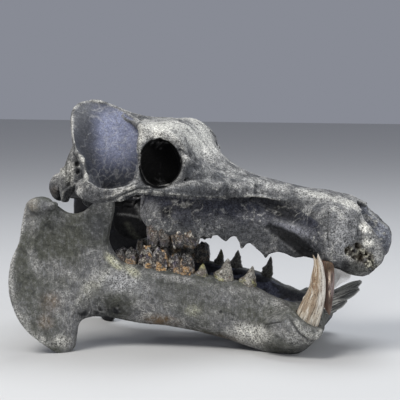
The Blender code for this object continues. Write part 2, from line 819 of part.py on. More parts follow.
INCISOR_ROOTS = ((0.165, 0.019, 0.066), (0.165, 0.046, 0.061))
INCISOR_TIPS = {
    "right": ((0.243, 0.018, 0.098), (0.227, 0.050, 0.085)),
    "left": ((0.243, 0.017, 0.104), (0.228, 0.048, 0.093)),
}
INCISOR_RADIUS = 0.0085


def incisor(number, side, grow=0.0):
    """A peg on the left half of the jaw that leans forwards out of the chin and tapers to a point."""
    root, tip = np.array(INCISOR_ROOTS[number]), np.array(INCISOR_TIPS[side][number])
    stations = []
    for t, r in ((0, 0.85), (0.3, 1.0), (0.6, 0.95), (0.85, 0.7), (1.0, 0.28)):
        sag = np.array([0, 0, -0.003 * math.sin(math.pi * t)])
        thick = INCISOR_RADIUS * r + grow
        stations.append((*(root + (tip - root) * t + sag), thick, thick * 0.9))
    return tube(stations, (0, 1, 0), 6, 10)


def tusk(grow=0.0):
    return tube(tusk_stations(grow), (1, 0, 0), 12, 12)


def keep_side(shell, side):
    """The shell as it is on the left, mirrored on the right."""
    return shell if side == "left" else mirrored(shell)


def make_jaw():
    whole = remesh(new_object("jaw", jaw_plate() + jaw_body() + lower_teeth()))
    soften(whole, 3)
    thin_out(whole, JAW_TRIANGLES)
    keep_largest(whole)
    floor = block((-0.5, -0.5, -0.1), (0.5, 0.5, 0.0))
    other_half = block((-0.5, -0.5, -0.2), (0.5, PART_GAP / 2, 0.5))
    boolean(whole, floor, "DIFFERENCE")
    boolean(whole, other_half, "DIFFERENCE")
    discard(floor, other_half)
    for side, flip in (("left", 1), ("right", -1)):
        half = bpy.data.objects.new("mandible_" + side, whole.data.copy())
        bpy.context.scene.collection.objects.link(half)
        for v in half.data.vertices:
            v.co.y *= flip
        if flip < 0:
            half.data.flip_normals()
        for shell in (tusk(POCKET_GAP), incisor(0, side, POCKET_GAP), incisor(1, side, POCKET_GAP)):
            cutter = new_object("cutter", [keep_side(shell, side)])
            boolean(half, cutter, "DIFFERENCE")
            discard(cutter)
        finish(keep_largest(half), "fossil_bone", BONE)
    discard(whole)


def make_front_teeth():
    for side in ("left", "right"):
        finish(new_object("lower_tusk_" + side, [keep_side(tusk(), side)]), "tusk_ivory", IVORY)
        for number in (0, 1):
            made = new_object(f"lower_incisor_{side}_{number + 1}", [keep_side(incisor(number, side), side)])
            finish(made, "incisor_enamel", ENAMEL)


def main():
    for o in list(bpy.data.objects):
        bpy.data.objects.remove(o)
    make_cranium()
    make_jaw()
    make_front_teeth()


main()
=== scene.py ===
"""Fossil hippopotamus skull on a pale studio floor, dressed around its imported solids.

Metres, +X towards the muzzle, +Y to the animal's left, +Z up, with the floor at Z = 0.
"""

import math

import bmesh
import bpy
import numpy as np
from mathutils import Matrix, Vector


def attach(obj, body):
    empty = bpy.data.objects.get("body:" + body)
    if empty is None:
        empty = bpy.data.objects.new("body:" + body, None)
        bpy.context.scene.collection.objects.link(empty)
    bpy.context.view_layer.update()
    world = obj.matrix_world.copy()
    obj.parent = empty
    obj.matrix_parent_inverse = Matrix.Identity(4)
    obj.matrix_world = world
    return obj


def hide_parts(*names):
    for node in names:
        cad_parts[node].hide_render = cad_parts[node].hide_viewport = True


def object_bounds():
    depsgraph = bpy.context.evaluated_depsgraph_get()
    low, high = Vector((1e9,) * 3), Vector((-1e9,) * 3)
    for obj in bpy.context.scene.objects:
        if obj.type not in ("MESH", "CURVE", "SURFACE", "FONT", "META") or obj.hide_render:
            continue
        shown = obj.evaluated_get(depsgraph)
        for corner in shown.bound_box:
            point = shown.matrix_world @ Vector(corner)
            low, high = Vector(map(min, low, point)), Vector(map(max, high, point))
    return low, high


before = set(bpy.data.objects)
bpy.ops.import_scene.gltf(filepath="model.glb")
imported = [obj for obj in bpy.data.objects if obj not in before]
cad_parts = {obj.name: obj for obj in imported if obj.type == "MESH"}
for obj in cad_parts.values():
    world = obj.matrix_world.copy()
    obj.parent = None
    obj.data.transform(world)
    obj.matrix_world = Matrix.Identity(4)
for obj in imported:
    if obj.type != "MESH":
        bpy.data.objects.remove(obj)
cad_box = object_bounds()
scene = bpy.context.scene


# ------------------------------------------------------------------------------------------- side view
# The skull is looked at from its right side, a little from ahead and from above. Marks on its side are
# given on this view as (across, down) in units of 1.62 mm, and stand in the same place on both sides.
VIEW_TARGET = np.array([-0.018, 0.0, 0.231])
VIEW_TURN, VIEW_RISE = math.radians(12.0), math.radians(6.5)
VIEW_DISTANCE = 2.3
UNIT = 0.00162
VIEW_MIDDLE = 200
SENSOR_WIDTH = 36.0
VIEW_AHEAD = np.array(
    [
        -math.sin(VIEW_TURN) * math.cos(VIEW_RISE),
        math.cos(VIEW_TURN) * math.cos(VIEW_RISE),
        -math.sin(VIEW_RISE),
    ]
)
VIEW_RIGHT = np.array([math.cos(VIEW_TURN), math.sin(VIEW_TURN), 0.0])
VIEW_UP = np.cross(VIEW_RIGHT, VIEW_AHEAD)

camera = bpy.data.objects.new("camera", bpy.data.cameras.new("camera"))
scene.collection.objects.link(camera)
CAMERA_PLACE = VIEW_TARGET - VIEW_AHEAD * VIEW_DISTANCE
camera.location = CAMERA_PLACE
camera.rotation_euler = Vector(VIEW_AHEAD).to_track_quat("-Z", "Y").to_euler()
camera.data.sensor_width = SENSOR_WIDTH
camera.data.lens = SENSOR_WIDTH * VIEW_DISTANCE / (UNIT * 2 * VIEW_MIDDLE)
scene.camera = camera


def on_side_view(points):
    """Where points stand on the side view, both sides folded onto the right one: the offset from the
    camera along the view's right and up axes, over the depth, in units."""
    folded = points * np.array([1, 0, 1]) - np.abs(points) * np.array([0, 1, 0])
    offset = folded - CAMERA_PLACE
    scale = VIEW_DISTANCE / (offset @ VIEW_AHEAD) / UNIT
    return np.column_stack(
        [VIEW_MIDDLE + offset @ VIEW_RIGHT * scale, VIEW_MIDDLE - offset @ VIEW_UP * scale]
    )


# --------------------------------------------------------------------------------------------- cranium
# The cranium is one mass of mineralised bone: braincase, crests, cheek arches, forehead and snout. Each
# form is a closed shell along an axis, and all of them are fused, hollowed and worn as one skin, which
# is then cut in three.
def through(knots, at):
    """Values at `at` on a smooth curve through rows of (position, value, ...): a cubic between each two
    rows, with the slope at a row taken from its neighbours."""
    table = np.array(knots, float)
    pos, val = table[:, 0], table[:, 1:]
    slope = np.gradient(val, pos, axis=0)
    at = np.clip(np.asarray(at, float), pos[0], pos[-1])
    i = np.clip(np.searchsorted(pos, at, side="right") - 1, 0, len(pos) - 2)
    step = (pos[i + 1] - pos[i])[:, None]
    t = (at[:, None] - pos[i][:, None]) / step
    return (
        (2 * t**3 - 3 * t**2 + 1) * val[i]
        + (t**3 - 2 * t**2 + t) * step * slope[i]
        + (3 * t**2 - 2 * t**3) * val[i + 1]
        + (t**3 - t**2) * step * slope[i + 1]
    )


def closed_shell(rings):
    """Closed surface over a grid of rings by points, as points, quads and triangles: a quad between each
    four neighbours, and a fan of triangles from each end ring to its middle."""
    rings = np.asarray(rings, float)
    count, around = rings.shape[:2]
    verts = np.vstack([rings.reshape(-1, 3), rings[0].mean(0), rings[-1].mean(0)])
    j = np.arange(around)
    k = (j + 1) % around
    row = (np.arange(count - 1) * around)[:, None]
    quads = np.stack([row + j, row + k, row + around + k, row + around + j], axis=2).reshape(-1, 4)
    top = (count - 1) * around
    start = np.column_stack([np.full(around, count * around), k, j])
    end = np.column_stack([np.full(around, count * around + 1), top + j, top + k])
    return verts, quads, np.vstack([start, end])


def full_turn(steps):
    """Even steps of angle, once round."""
    return np.linspace(0, 2 * math.pi, steps, endpoint=False)


def loft(stations, along=90, around=96):
    """Shell along X. A station is x, middle y, half width, level of the widest point, top, bottom and the
    roundness above and below: y and z follow cos and sin to the power 2 / roundness."""
    table = np.array(stations, float)
    x = np.linspace(table[0, 0], table[-1, 0], along)
    mid_y, half, level, top, bottom, n_top, n_bottom = through(table, x).T[:, :, None]
    angle = full_turn(around)[None, :]
    c, s = np.cos(angle), np.sin(angle)
    power = 2 / np.where(s > 0, n_top, n_bottom)
    y = mid_y + half * np.sign(c) * np.abs(c) ** power
    z = level + np.where(s > 0, top - level, level - bottom) * np.sign(s) * np.abs(s) ** power
    return closed_shell(np.stack([np.broadcast_to(x[:, None], y.shape), y, z], axis=2))


def run_along(table):
    """How far along its path each station stands."""
    return np.concatenate([[0], np.cumsum(np.linalg.norm(np.diff(table[:, :3], axis=0), axis=1))])


def square_to(path, side):
    """Two unit vectors at each point of a path, square to it and to each other: the part of `side` that
    doesn't run along the path, and the one that crosses both."""
    ahead = np.gradient(path, axis=0)
    ahead /= np.linalg.norm(ahead, axis=1)[:, None]
    side = np.array(side, float)
    across = side - ahead * (ahead @ side)[:, None]
    across /= np.linalg.norm(across, axis=1)[:, None]
    return across, np.cross(ahead, across)


def tube(stations, side, along=80, around=32):
    """Shell along a smooth path. A station is x, y, z, half width along `side` and half thickness; each
    ring is an ellipse square to the path."""
    table = np.array(stations, float)
    run = run_along(table)
    rows = through(np.column_stack([run, table]), np.linspace(0, run[-1], along))
    path, wide, thick = rows[:, :3], rows[:, 3], rows[:, 4]
    across, third = square_to(path, side)
    angle = full_turn(around)
    ring = (
        np.cos(angle)[None, :, None] * (across * wide[:, None])[:, None]
        + np.sin(angle)[None, :, None] * (third * thick[:, None])[:, None]
    )
    return closed_shell(path[:, None] + ring)


def ball(centre, radii, around=40, rows=24):
    """Shell of an ellipsoid: a grid of polar angle by turn, scaled by three radii."""
    polar = np.linspace(0.05, math.pi - 0.05, rows)[:, None]
    angle = full_turn(around)[None, :]
    unit = np.stack(
        [
            np.sin(polar) * np.cos(angle),
            np.sin(polar) * np.sin(angle),
            np.broadcast_to(-np.cos(polar), (rows, around)),
        ],
        axis=2,
    )
    return closed_shell(np.array(centre) + unit * np.array(radii))


def mirrored(shell):
    """The same shell on the other side of the middle plane."""
    verts, quads, fans = shell
    return verts * np.array([1, -1, 1]), quads[:, ::-1], fans[:, ::-1]


def both_sides(shells):
    """Each shell and its mirror image."""
    return [s for shell in shells for s in (shell, mirrored(shell))]


def mesh_object(name, shells):
    """One object that holds every shell, with its faces pointing out."""
    points, faces, first = [], [], 0
    for verts, quads, fans in shells:
        faces += (quads + first).tolist() + (fans + first).tolist()
        points.append(verts)
        first += len(verts)
    mesh = bpy.data.meshes.new(name)
    mesh.from_pydata(np.vstack(points).tolist(), [], faces)
    bm = bmesh.new()
    bm.from_mesh(mesh)
    bmesh.ops.recalc_face_normals(bm, faces=bm.faces)
    bm.to_mesh(mesh)
    bm.free()
    made = bpy.data.objects.new(name, mesh)
    scene.collection.objects.link(made)
    return made


def changed(made, kind, **settings):
    """The object with one modifier applied."""
    modifier = made.modifiers.new(kind, kind)
    for key, value in settings.items():
        setattr(modifier, key, value)
    bpy.context.view_layer.update()
    evaluated = made.evaluated_get(bpy.context.evaluated_depsgraph_get())
    mesh = bpy.data.meshes.new_from_object(evaluated)
    made.modifiers.clear()
    old, made.data = made.data, mesh
    bpy.data.meshes.remove(old)
    return made


def one_skin(made, voxel):
    """The object as one skin, in square cells of about `voxel`."""
    return changed(made, "REMESH", mode="VOXEL", voxel_size=voxel)


def fused(name, shells, voxel):
    """One skin over all the shells."""
    return one_skin(mesh_object(name, shells), voxel)


def carved(made, cutter):
    """The object less the cutter, which is removed."""
    changed(made, "BOOLEAN", operation="DIFFERENCE", solver="MANIFOLD", object=cutter)
    bpy.data.objects.remove(cutter)
    return made


def neighbour_sums(values, ends):
    """For each point, the sum of the rows at the other ends of its edges."""
    a, b = ends
    count = len(values)
    sums = [np.bincount(a, column[b], count) + np.bincount(b, column[a], count) for column in values.T]
    return np.stack(sums, axis=1)


class Skin:
    """A mesh's points as arrays, which relief moves and paint colours."""

    def __init__(self, made):
        self.made = made
        mesh = made.data
        self.points = np.zeros(len(mesh.vertices) * 3, np.float32)
        mesh.vertices.foreach_get("co", self.points)
        self.points = self.points.reshape(-1, 3).astype(float)
        edges = np.zeros(len(mesh.edges) * 2, np.int32)
        mesh.edges.foreach_get("vertices", edges)
        self.ends = edges.reshape(-1, 2)
        self.degree = np.maximum(np.bincount(self.ends.ravel(), minlength=len(self.points)), 1)
        self.measure()

    def measure(self):
        """Takes the normals, and the place on the side view, from the points."""
        mesh = self.made.data
        mesh.vertices.foreach_set("co", self.points.astype(np.float32).ravel())
        mesh.update()
        normals = np.zeros(len(mesh.vertices) * 3, np.float32)
        mesh.vertex_normals.foreach_get("vector", normals)
        self.normals = normals.reshape(-1, 3).astype(float)
        self.place = on_side_view(self.points)
        side = np.where(self.points[:, 1:2] > 0, VIEW_AHEAD * [1, -1, 1], VIEW_AHEAD)
        self.facing = -np.sum(self.normals * side, axis=1)

    def spread(self, values, times=1):
        """Each point's value averaged with its neighbours', `times` over."""
        values = np.asarray(values, float)
        flat = values.reshape(len(self.points), -1)
        for _ in range(times):
            flat = (flat + neighbour_sums(flat, self.ends.T)) / (1 + self.degree[:, None])
        return flat.reshape(values.shape)

    def relax(self, times):
        """Smooths the points without shrinking them: a step towards the neighbours, then most of it back."""
        for _ in range(times):
            for share in (0.55, -0.57):
                self.points += share * (self.spread(self.points) - self.points)
        self.measure()

    def flatten(self, mask, times):
        """Draws a skin tight where the mask is 1: each point moves to the middle of its neighbours, as far
        as the mask says."""
        near = mask[self.ends].max(axis=1) > 0
        picked, where = np.unique(self.ends[near].T.ravel(), return_inverse=True)
        ends = where.reshape(2, -1)
        local, share = self.points[picked], mask[picked, None]
        degree = np.maximum(np.bincount(where.ravel(), minlength=len(picked)), 1)[:, None]
        for _ in range(times):
            local = local + 0.9 * share * (neighbour_sums(local, ends) / degree - local)
        self.points[picked] = local
        self.measure()

    def seen(self, out, low=-0.1, high=0.3):
        """1 on faces that look outward and stand further than `out` metres from the middle plane."""
        return ease(low, high, self.facing) * ease(out - 0.004, out + 0.004, np.abs(self.points[:, 1]))

    def push(self, amount):
        """Moves each point out along its normal by `amount` metres."""
        self.points += self.normals * np.asarray(amount)[:, None]
        self.measure()

    def dent(self, marks):
        """Sinks a soft oval for each mark: across, down, width, height, turn, distance out and depth."""
        for *oval, depth in marks:
            self.push(-depth * spot(self, *oval))

    def score(self, marks):
        """Raises or cuts a line for each mark: its corners, width, distance out and height."""
        for *line, height in marks:
            self.push(height * line_mask(self, *line))

    def pierce(self, marks, depth):
        """Sinks a small round hole for each mark: across, down, size and distance out."""
        for across, down, size, out in marks:
            self.push(-depth * spot(self, across, down, size, size, 0, out))

    def hold_inside(self, box, gap=0.0003):
        """Keeps the points within a box, `gap` metres from its sides."""
        low, high = np.array(box)
        self.points = np.clip(self.points, low + gap, high - gap)
        self.measure()

    def bulge(self, times):
        """How far each point stands proud of its surroundings, in metres: its offset from the average of
        the points round it, along the normal."""
        return np.sum((self.points - self.spread(self.points, times)) * self.normals, axis=1)

    def keep(self, name, values):
        """Stores a number or a colour for each point, under a name that a material can read."""
        values = np.asarray(values, np.float32)
        kind = "FLOAT" if values.ndim == 1 else "FLOAT_COLOR"
        stored = self.made.data.attributes.new(name, kind, "POINT")
        if kind == "FLOAT":
            stored.data.foreach_set("value", values)
        else:
            full = np.column_stack([values, np.ones(len(values))]).astype(np.float32)
            stored.data.foreach_set("color", full.ravel())


def ease(low, high, value):
    """0 below low, 1 above high, and 3t^2 - 2t^3 between."""
    t = np.clip((value - low) / (high - low), 0, 1)
    return t * t * (3 - 2 * t)


def cloud(points, size, seed=0):
    """Smooth random number from -1 to 1: one at each corner of a lattice, blended by ease. Each seed
    turns the lattice its own way, so that layers of clouds show no rows."""
    a, b = 0.7 + 1.9 * seed, 0.5 + 1.3 * seed
    flat = np.array([[math.cos(a), -math.sin(a), 0], [math.sin(a), math.cos(a), 0], [0, 0, 1]])
    tilt = np.array([[1, 0, 0], [0, math.cos(b), -math.sin(b)], [0, math.sin(b), math.cos(b)]])
    points = points @ flat @ tilt
    base = np.floor(points / size).astype(np.int64)
    t = points / size - base
    t = t * t * (3 - 2 * t)
    total = np.zeros(len(points))
    for corner in np.ndindex(2, 2, 2):
        key = (base + corner) @ np.array([374761393, 668265263, 1442695041]) + seed * 974711
        key = (key ^ (key >> 13)) * 1274126177 & 0xFFFFFFFF
        key = (key ^ (key >> 16)) * 2246822519 & 0xFFFFFFFF
        value = ((key ^ (key >> 15)) & 0xFFFF) / 32767.5 - 1
        total += value * np.prod(np.where(corner, t, 1 - t), axis=1)
    return total


def rubble(points, size, layers=3, seed=0):
    """Clouds of halving size and height, summed."""
    return sum(cloud(points, size / 2**i, seed + i) / 2**i for i in range(layers))


def veins(points, size, seed=0):
    """Thin wandering lines, 1 on a line: where a cloud over warped places passes through zero."""
    warp = np.stack([cloud(points, size, seed + i) for i in range(3)], axis=1)
    return ease(0.13, 0.02, np.abs(rubble(points + 0.5 * size * warp, size, 2, seed + 3)))


def near_line(place, line):
    """Distance on the side view from each place to a line of corners, in units."""
    line = np.array(line, float)
    best = np.full(len(place), 1e9)
    for a, b in zip(line[:-1], line[1:]):
        share = np.clip((place - a) @ (b - a) / max((b - a) @ (b - a), 1e-9), 0, 1)
        best = np.minimum(best, np.linalg.norm(place - a - share[:, None] * (b - a), axis=1))
    return best


def spot(skin, across, down, wide, high, turn=0.0, out=0.0):
    """A soft oval on the side view, 1 in its middle and 0 at its edge, on the faces seen past `out`."""
    offset = skin.place - (across, down)
    c, s = math.cos(math.radians(turn)), math.sin(math.radians(turn))
    u = (offset[:, 0] * c + offset[:, 1] * s) / wide
    v = (offset[:, 1] * c - offset[:, 0] * s) / high
    return ease(0, 1, 1 - np.hypot(u, v)) * skin.seen(out)


def roughest(skin, marks):
    """The strongest of several soft ovals at each point, from marks of across, down, width, height,
    distance out and strength."""
    most = np.zeros(len(skin.points))
    for *oval, out, share in marks:
        most = np.maximum(most, share * spot(skin, *oval, 0, out))
    return most


def line_mask(skin, line, width, out=0.0):
    """1 on a line of the side view and 0 at `width` units from it, on outward faces."""
    return ease(0, 1, 1 - near_line(skin.place, line) / width) * skin.seen(out)


def under(skin, ledge, fall, out=0.0):
    """0 above a line of the side view that runs from left to right, 1 just below it, and fading to 0 at
    `fall` units below it, on outward faces."""
    across, down = skin.place.T
    line = np.array(ledge, float)
    below = down - np.interp(across, line[:, 0], line[:, 1])
    ends = ease(line[0, 0] - 2, line[0, 0] + 8, across) * ease(line[-1, 0] + 2, line[-1, 0] - 8, across)
    return ease(-1.0, 1.5, below) * ease(fall, 0.2 * fall, below) * ends * skin.seen(out, -0.3, 0.2)


def inside(skin, outline, soft=2.0):
    """1 inside a closed outline of the side view, fading to 0 over `soft` units past it."""
    corners = np.array(outline, float)
    x, y = skin.place.T
    hits = np.zeros(len(x), int)
    for (ax, ay), (bx, by) in zip(corners, np.roll(corners, -1, axis=0)):
        crosses = (ay > y) != (by > y)
        hits += crosses & (x < ax + (y - ay) * (bx - ax) / (by - ay if by != ay else 1e-9))
    gap = near_line(skin.place, np.vstack([corners, corners[:1]]))
    return np.where(hits % 2 == 1, 1.0, ease(0, 1, 1 - gap / soft))


BROW_HALF_WIDTH = 0.130
ORBIT = (-0.051, 0.128, 0.303)
ORBIT_HALF = (0.0295, 0.0355)
ORBIT_BEND = (0.016, 0.066, 0.010)
UPPER_TOOTH_Y = 0.056
CRANIUM_CELL = 0.0016
BRAINCASE_JOINT_X = -0.085
SNOUT_JOINT_X = 0.0497


def braincase():
    """Narrow box of the brain with a tent-shaped roof, its base, and the wide back wall."""
    box = [
        (-0.206, 0, 0.062, 0.290, 0.380, 0.232, 1.2, 2.2),
        (-0.180, 0, 0.060, 0.292, 0.386, 0.230, 1.15, 2.2),
        (-0.150, 0, 0.055, 0.296, 0.376, 0.230, 1.2, 2.2),
        (-0.120, 0, 0.047, 0.300, 0.366, 0.228, 1.5, 2.2),
        (-0.080, 0, 0.043, 0.300, 0.357, 0.222, 2.2, 2.2),
        (-0.030, 0, 0.056, 0.300, 0.345, 0.214, 2.6, 2.4),
        (0.010, 0, 0.062, 0.270, 0.296, 0.206, 2.6, 2.4),
    ]
    wall = [
        (-0.248, 0, 0.034, 0.258, 0.270, 0.238, 2.0, 2.0),
        (-0.238, 0, 0.062, 0.262, 0.283, 0.234, 2.0, 2.2),
        (-0.224, 0, 0.086, 0.272, 0.304, 0.233, 1.8, 2.4),
        (-0.212, 0, 0.099, 0.288, 0.346, 0.232, 1.4, 2.4),
        (-0.200, 0, 0.108, 0.290, 0.374, 0.232, 1.3, 2.4),
        (-0.186, 0, 0.098, 0.288, 0.372, 0.234, 1.2, 2.2),
    ]
    base = [
        (-0.246, 0, 0.034, 0.250, 0.268, 0.232, 2, 2),
        (-0.210, 0, 0.036, 0.245, 0.275, 0.226, 2, 2),
        (-0.150, 0, 0.030, 0.240, 0.270, 0.216, 2, 2),
        (-0.090, 0, 0.030, 0.235, 0.270, 0.208, 2, 2),
    ]
    condyle = ball((-0.246, 0.027, 0.250), (0.017, 0.020, 0.023))
    process = tube(
        [
            (-0.212, 0.084, 0.285, 0.020, 0.014),
            (-0.217, 0.084, 0.262, 0.016, 0.012),
            (-0.220, 0.080, 0.244, 0.012, 0.009),
            (-0.222, 0.077, 0.232, 0.006, 0.006),
        ],
        (0, 1, 0),
        along=40,
    )
    bulla = ball((-0.184, 0.052, 0.236), (0.018, 0.014, 0.016))
    corner = ball((-0.203, 0.028, 0.350), (0.020, 0.034, 0.030))
    sides = both_sides([condyle, process, bulla, corner])
    return [loft(box), loft(wall, along=50), loft(base, along=50)] + sides


def crests():
    """Crest along the roof, the lip that frames the temple behind, and the line round it in front."""
    sagittal = [
        (-0.214, 0, 0.375, 0.012, 0.012),
        (-0.208, 0, 0.3795, 0.010, 0.010),
        (-0.195, 0, 0.3833, 0.009, 0.009),
        (-0.168, 0, 0.376, 0.007, 0.009),
        (-0.134, 0, 0.363, 0.010, 0.009),
        (-0.108, 0, 0.354, 0.018, 0.010),
    ]
    nuchal = [
        (-0.208, 0.004, 0.3785, 0.013, 0.008),
        (-0.216, 0.024, 0.369, 0.016, 0.007),
        (-0.216, 0.040, 0.353, 0.018, 0.006),
        (-0.209, 0.060, 0.338, 0.018, 0.006),
        (-0.201, 0.080, 0.325, 0.017, 0.006),
        (-0.192, 0.098, 0.314, 0.014, 0.006),
        (-0.180, 0.120, 0.303, 0.011, 0.006),
        (-0.168, 0.138, 0.292, 0.009, 0.007),
        (-0.163, 0.147, 0.276, 0.009, 0.007),
        (-0.160, 0.150, 0.262, 0.009, 0.008),
    ]
    line = [
        (-0.140, 0.008, 0.366, 0.007, 0.007),
        (-0.118, 0.030, 0.358, 0.007, 0.007),
        (-0.100, 0.065, 0.353, 0.008, 0.007),
        (-0.088, 0.100, 0.350, 0.009, 0.007),
    ]
    return [tube(sagittal, (0, 1, 0))] + both_sides([tube(nuchal, (0, 0.6, 1)), tube(line, (0, 0, 1))])


def cheek_arches():
    """Root of each arch at the ear, the arch itself, and the spur that rises from it behind the eye."""
    root = [
        (-0.186, 0.040, 0.258, 0.026, 0.016),
        (-0.183, 0.080, 0.256, 0.020, 0.015),
        (-0.178, 0.116, 0.256, 0.015, 0.014),
        (-0.168, 0.142, 0.257, 0.014, 0.012),
    ]
    arch = [
        (-0.178, 0.132, 0.257, 0.012, 0.009),
        (-0.158, 0.149, 0.254, 0.014, 0.009),
        (-0.134, 0.157, 0.254, 0.013, 0.008),
        (-0.111, 0.159, 0.257, 0.0115, 0.008),
        (-0.093, 0.158, 0.265, 0.0105, 0.008),
        (-0.078, 0.155, 0.267, 0.010, 0.008),
        (-0.060, 0.149, 0.2625, 0.0065, 0.008),
        (-0.042, 0.140, 0.2605, 0.0075, 0.009),
        (-0.022, 0.125, 0.2605, 0.012, 0.012),
        (0.000, 0.106, 0.260, 0.015, 0.014),
        (0.034, 0.078, 0.256, 0.015, 0.014),
    ]
    spur = [
        (-0.080, 0.153, 0.274, 0.011, 0.007),
        (-0.081, 0.151, 0.287, 0.006, 0.0055),
        (-0.0815, 0.149, 0.300, 0.0035, 0.0035),
    ]
    shells = [tube(root, (1, 0, 0)), tube(arch, (0, 0, 1), along=140), tube(spur, (1, 0, 0), along=30)]
    return both_sides(shells)


def forehead():
    """Flat roof between the eyes with the cheeks below it, the spur over the temple, and the eye rims."""
    shield = [
        (-0.106, 0, 0.060, 0.350, 0.362, 0.338, 2.5, 2.5),
        (-0.092, 0, 0.106, 0.347, 0.361, 0.335, 3.0, 2.6),
        (-0.075, 0, 0.124, 0.345, 0.360, 0.332, 3.2, 2.6),
        (-0.050, 0, BROW_HALF_WIDTH, 0.342, 0.3595, 0.326, 3.2, 2.6),
        (-0.030, 0, 0.128, 0.330, 0.350, 0.262, 3.0, 2.6),
        (-0.018, 0, 0.124, 0.313, 0.336, 0.250, 2.6, 3.0),
        (-0.006, 0, 0.117, 0.285, 0.318, 0.247, 2.4, 3.0),
        (0.009, 0, 0.106, 0.268, 0.301, 0.245, 2.2, 3.0),
        (0.040, 0, 0.082, 0.258, 0.281, 0.242, 2.2, 3.0),
        (0.080, 0, 0.059, 0.248, 0.270, 0.225, 2.4, 2.8),
    ]
    spur = [
        (-0.074, 0.118, 0.347, 0.016, 0.010),
        (-0.078, 0.130, 0.337, 0.010, 0.008),
        (-0.081, 0.139, 0.325, 0.006, 0.006),
        (-0.0825, 0.144, 0.316, 0.0035, 0.0035),
    ]
    x, y, z = ORBIT
    turn = np.radians([115, 90, 60, 30, 0, -30, -60])
    rim = np.column_stack(
        [
            x + (ORBIT_HALF[0] + 0.006) * np.cos(turn),
            y - 0.007 * np.cos(turn) - 0.006 * np.sin(turn),
            z + (ORBIT_HALF[1] + 0.005) * np.sin(turn),
            np.full(7, 0.008),
            np.full(7, 0.006),
        ]
    )
    return [loft(shield)] + both_sides([tube(spur, (1, 0, 0), along=36), tube(rim, (0, 1, 0), along=60)])


def snout():
    """Muzzle: a narrow waist behind the canines, the swellings over them, and the two blunt tips."""
    barrel = [
        (0.000, 0, 0.078, 0.262, 0.318, 0.196, 2.6, 3.0),
        (0.031, 0, 0.068, 0.240, 0.292, 0.190, 2.6, 3.0),
        (0.064, 0, 0.057, 0.226, 0.2765, 0.186, 2.6, 3.0),
        (0.105, 0, 0.047, 0.215, 0.266, 0.180, 2.6, 3.0),
        (0.145, 0, 0.048, 0.205, 0.257, 0.172, 2.6, 3.0),
        (0.193, 0, 0.062, 0.200, 0.250, 0.165, 2.6, 3.0),
        (0.225, 0, 0.066, 0.200, 0.241, 0.160, 2.6, 3.0),
        (0.249, 0, 0.058, 0.205, 0.229, 0.165, 2.6, 3.0),
    ]
    bridge = [
        (0.200, 0, 0.050, 0.150, 0.166, 0.146, 2, 2),
        (0.262, 0, 0.040, 0.146, 0.164, 0.134, 2, 2),
    ]
    swelling = [
        (0.118, 0.050, 0.008, 0.186, 0.200, 0.172, 2, 2),
        (0.150, 0.060, 0.024, 0.190, 0.222, 0.155, 2, 2),
        (0.175, 0.068, 0.030, 0.192, 0.235, 0.153, 2, 2.4),
        (0.196, 0.071, 0.034, 0.192, 0.240, 0.147, 2, 2.6),
        (0.218, 0.069, 0.032, 0.188, 0.238, 0.137, 2, 2.6),
        (0.245, 0.061, 0.026, 0.184, 0.226, 0.133, 2, 2.4),
    ]
    tip = [
        (0.205, 0.050, 0.026, 0.180, 0.215, 0.142, 2.2, 2.4),
        (0.224, 0.052, 0.028, 0.172, 0.222, 0.130, 2.2, 2.6),
        (0.245, 0.053, 0.029, 0.168, 0.219, 0.125, 2.2, 2.6),
        (0.262, 0.053, 0.028, 0.167, 0.208, 0.126, 2.2, 2.4),
        (0.276, 0.050, 0.025, 0.168, 0.194, 0.141, 2.2, 2.2),
        (0.283, 0.048, 0.020, 0.170, 0.188, 0.150, 2, 2),
        (0.2868, 0.046, 0.009, 0.172, 0.180, 0.163, 2, 2),
    ]
    return [loft(barrel), loft(bridge, along=30)] + both_sides([loft(swelling), loft(tip, along=60)])


def tooth_walls():
    """Side walls that carry the upper cheek teeth, the palate between them, and the thin plates behind."""
    y = UPPER_TOOTH_Y
    wall = [
        (-0.103, y, 0.010, 0.224, 0.240, 0.208, 2, 2),
        (-0.092, y, 0.018, 0.216, 0.250, 0.194, 2.4, 2.6),
        (-0.060, y, 0.024, 0.208, 0.262, 0.181, 2.4, 3.0),
        (-0.020, y - 0.001, 0.024, 0.206, 0.260, 0.175, 2.4, 3.0),
        (0.000, y - 0.002, 0.023, 0.206, 0.256, 0.170, 2.4, 3.0),
        (0.036, y - 0.007, 0.019, 0.200, 0.246, 0.168, 2.4, 3.0),
        (0.062, y - 0.011, 0.016, 0.195, 0.235, 0.156, 2.4, 2.6),
        (0.092, y - 0.014, 0.014, 0.190, 0.225, 0.144, 2.4, 2.6),
        (0.130, y - 0.012, 0.014, 0.186, 0.215, 0.146, 2.4, 2.6),
        (0.160, y - 0.002, 0.018, 0.184, 0.215, 0.152, 2.4, 2.6),
    ]
    palate = [
        (-0.076, 0, 0.048, 0.225, 0.262, 0.196, 2.4, 2.4),
        (0.050, 0, 0.052, 0.215, 0.250, 0.190, 2.4, 2.4),
        (0.200, 0, 0.055, 0.190, 0.220, 0.164, 2.4, 2.4),
    ]
    plate = [
        (-0.080, 0.036, 0.226, 0.024, 0.006),
        (-0.103, 0.036, 0.208, 0.034, 0.006),
        (-0.127, 0.035, 0.202, 0.033, 0.006),
        (-0.145, 0.034, 0.214, 0.018, 0.005),
    ]
    return [loft(palate, along=60)] + both_sides([loft(wall), tube(plate, (0, 0, 1), along=50)])


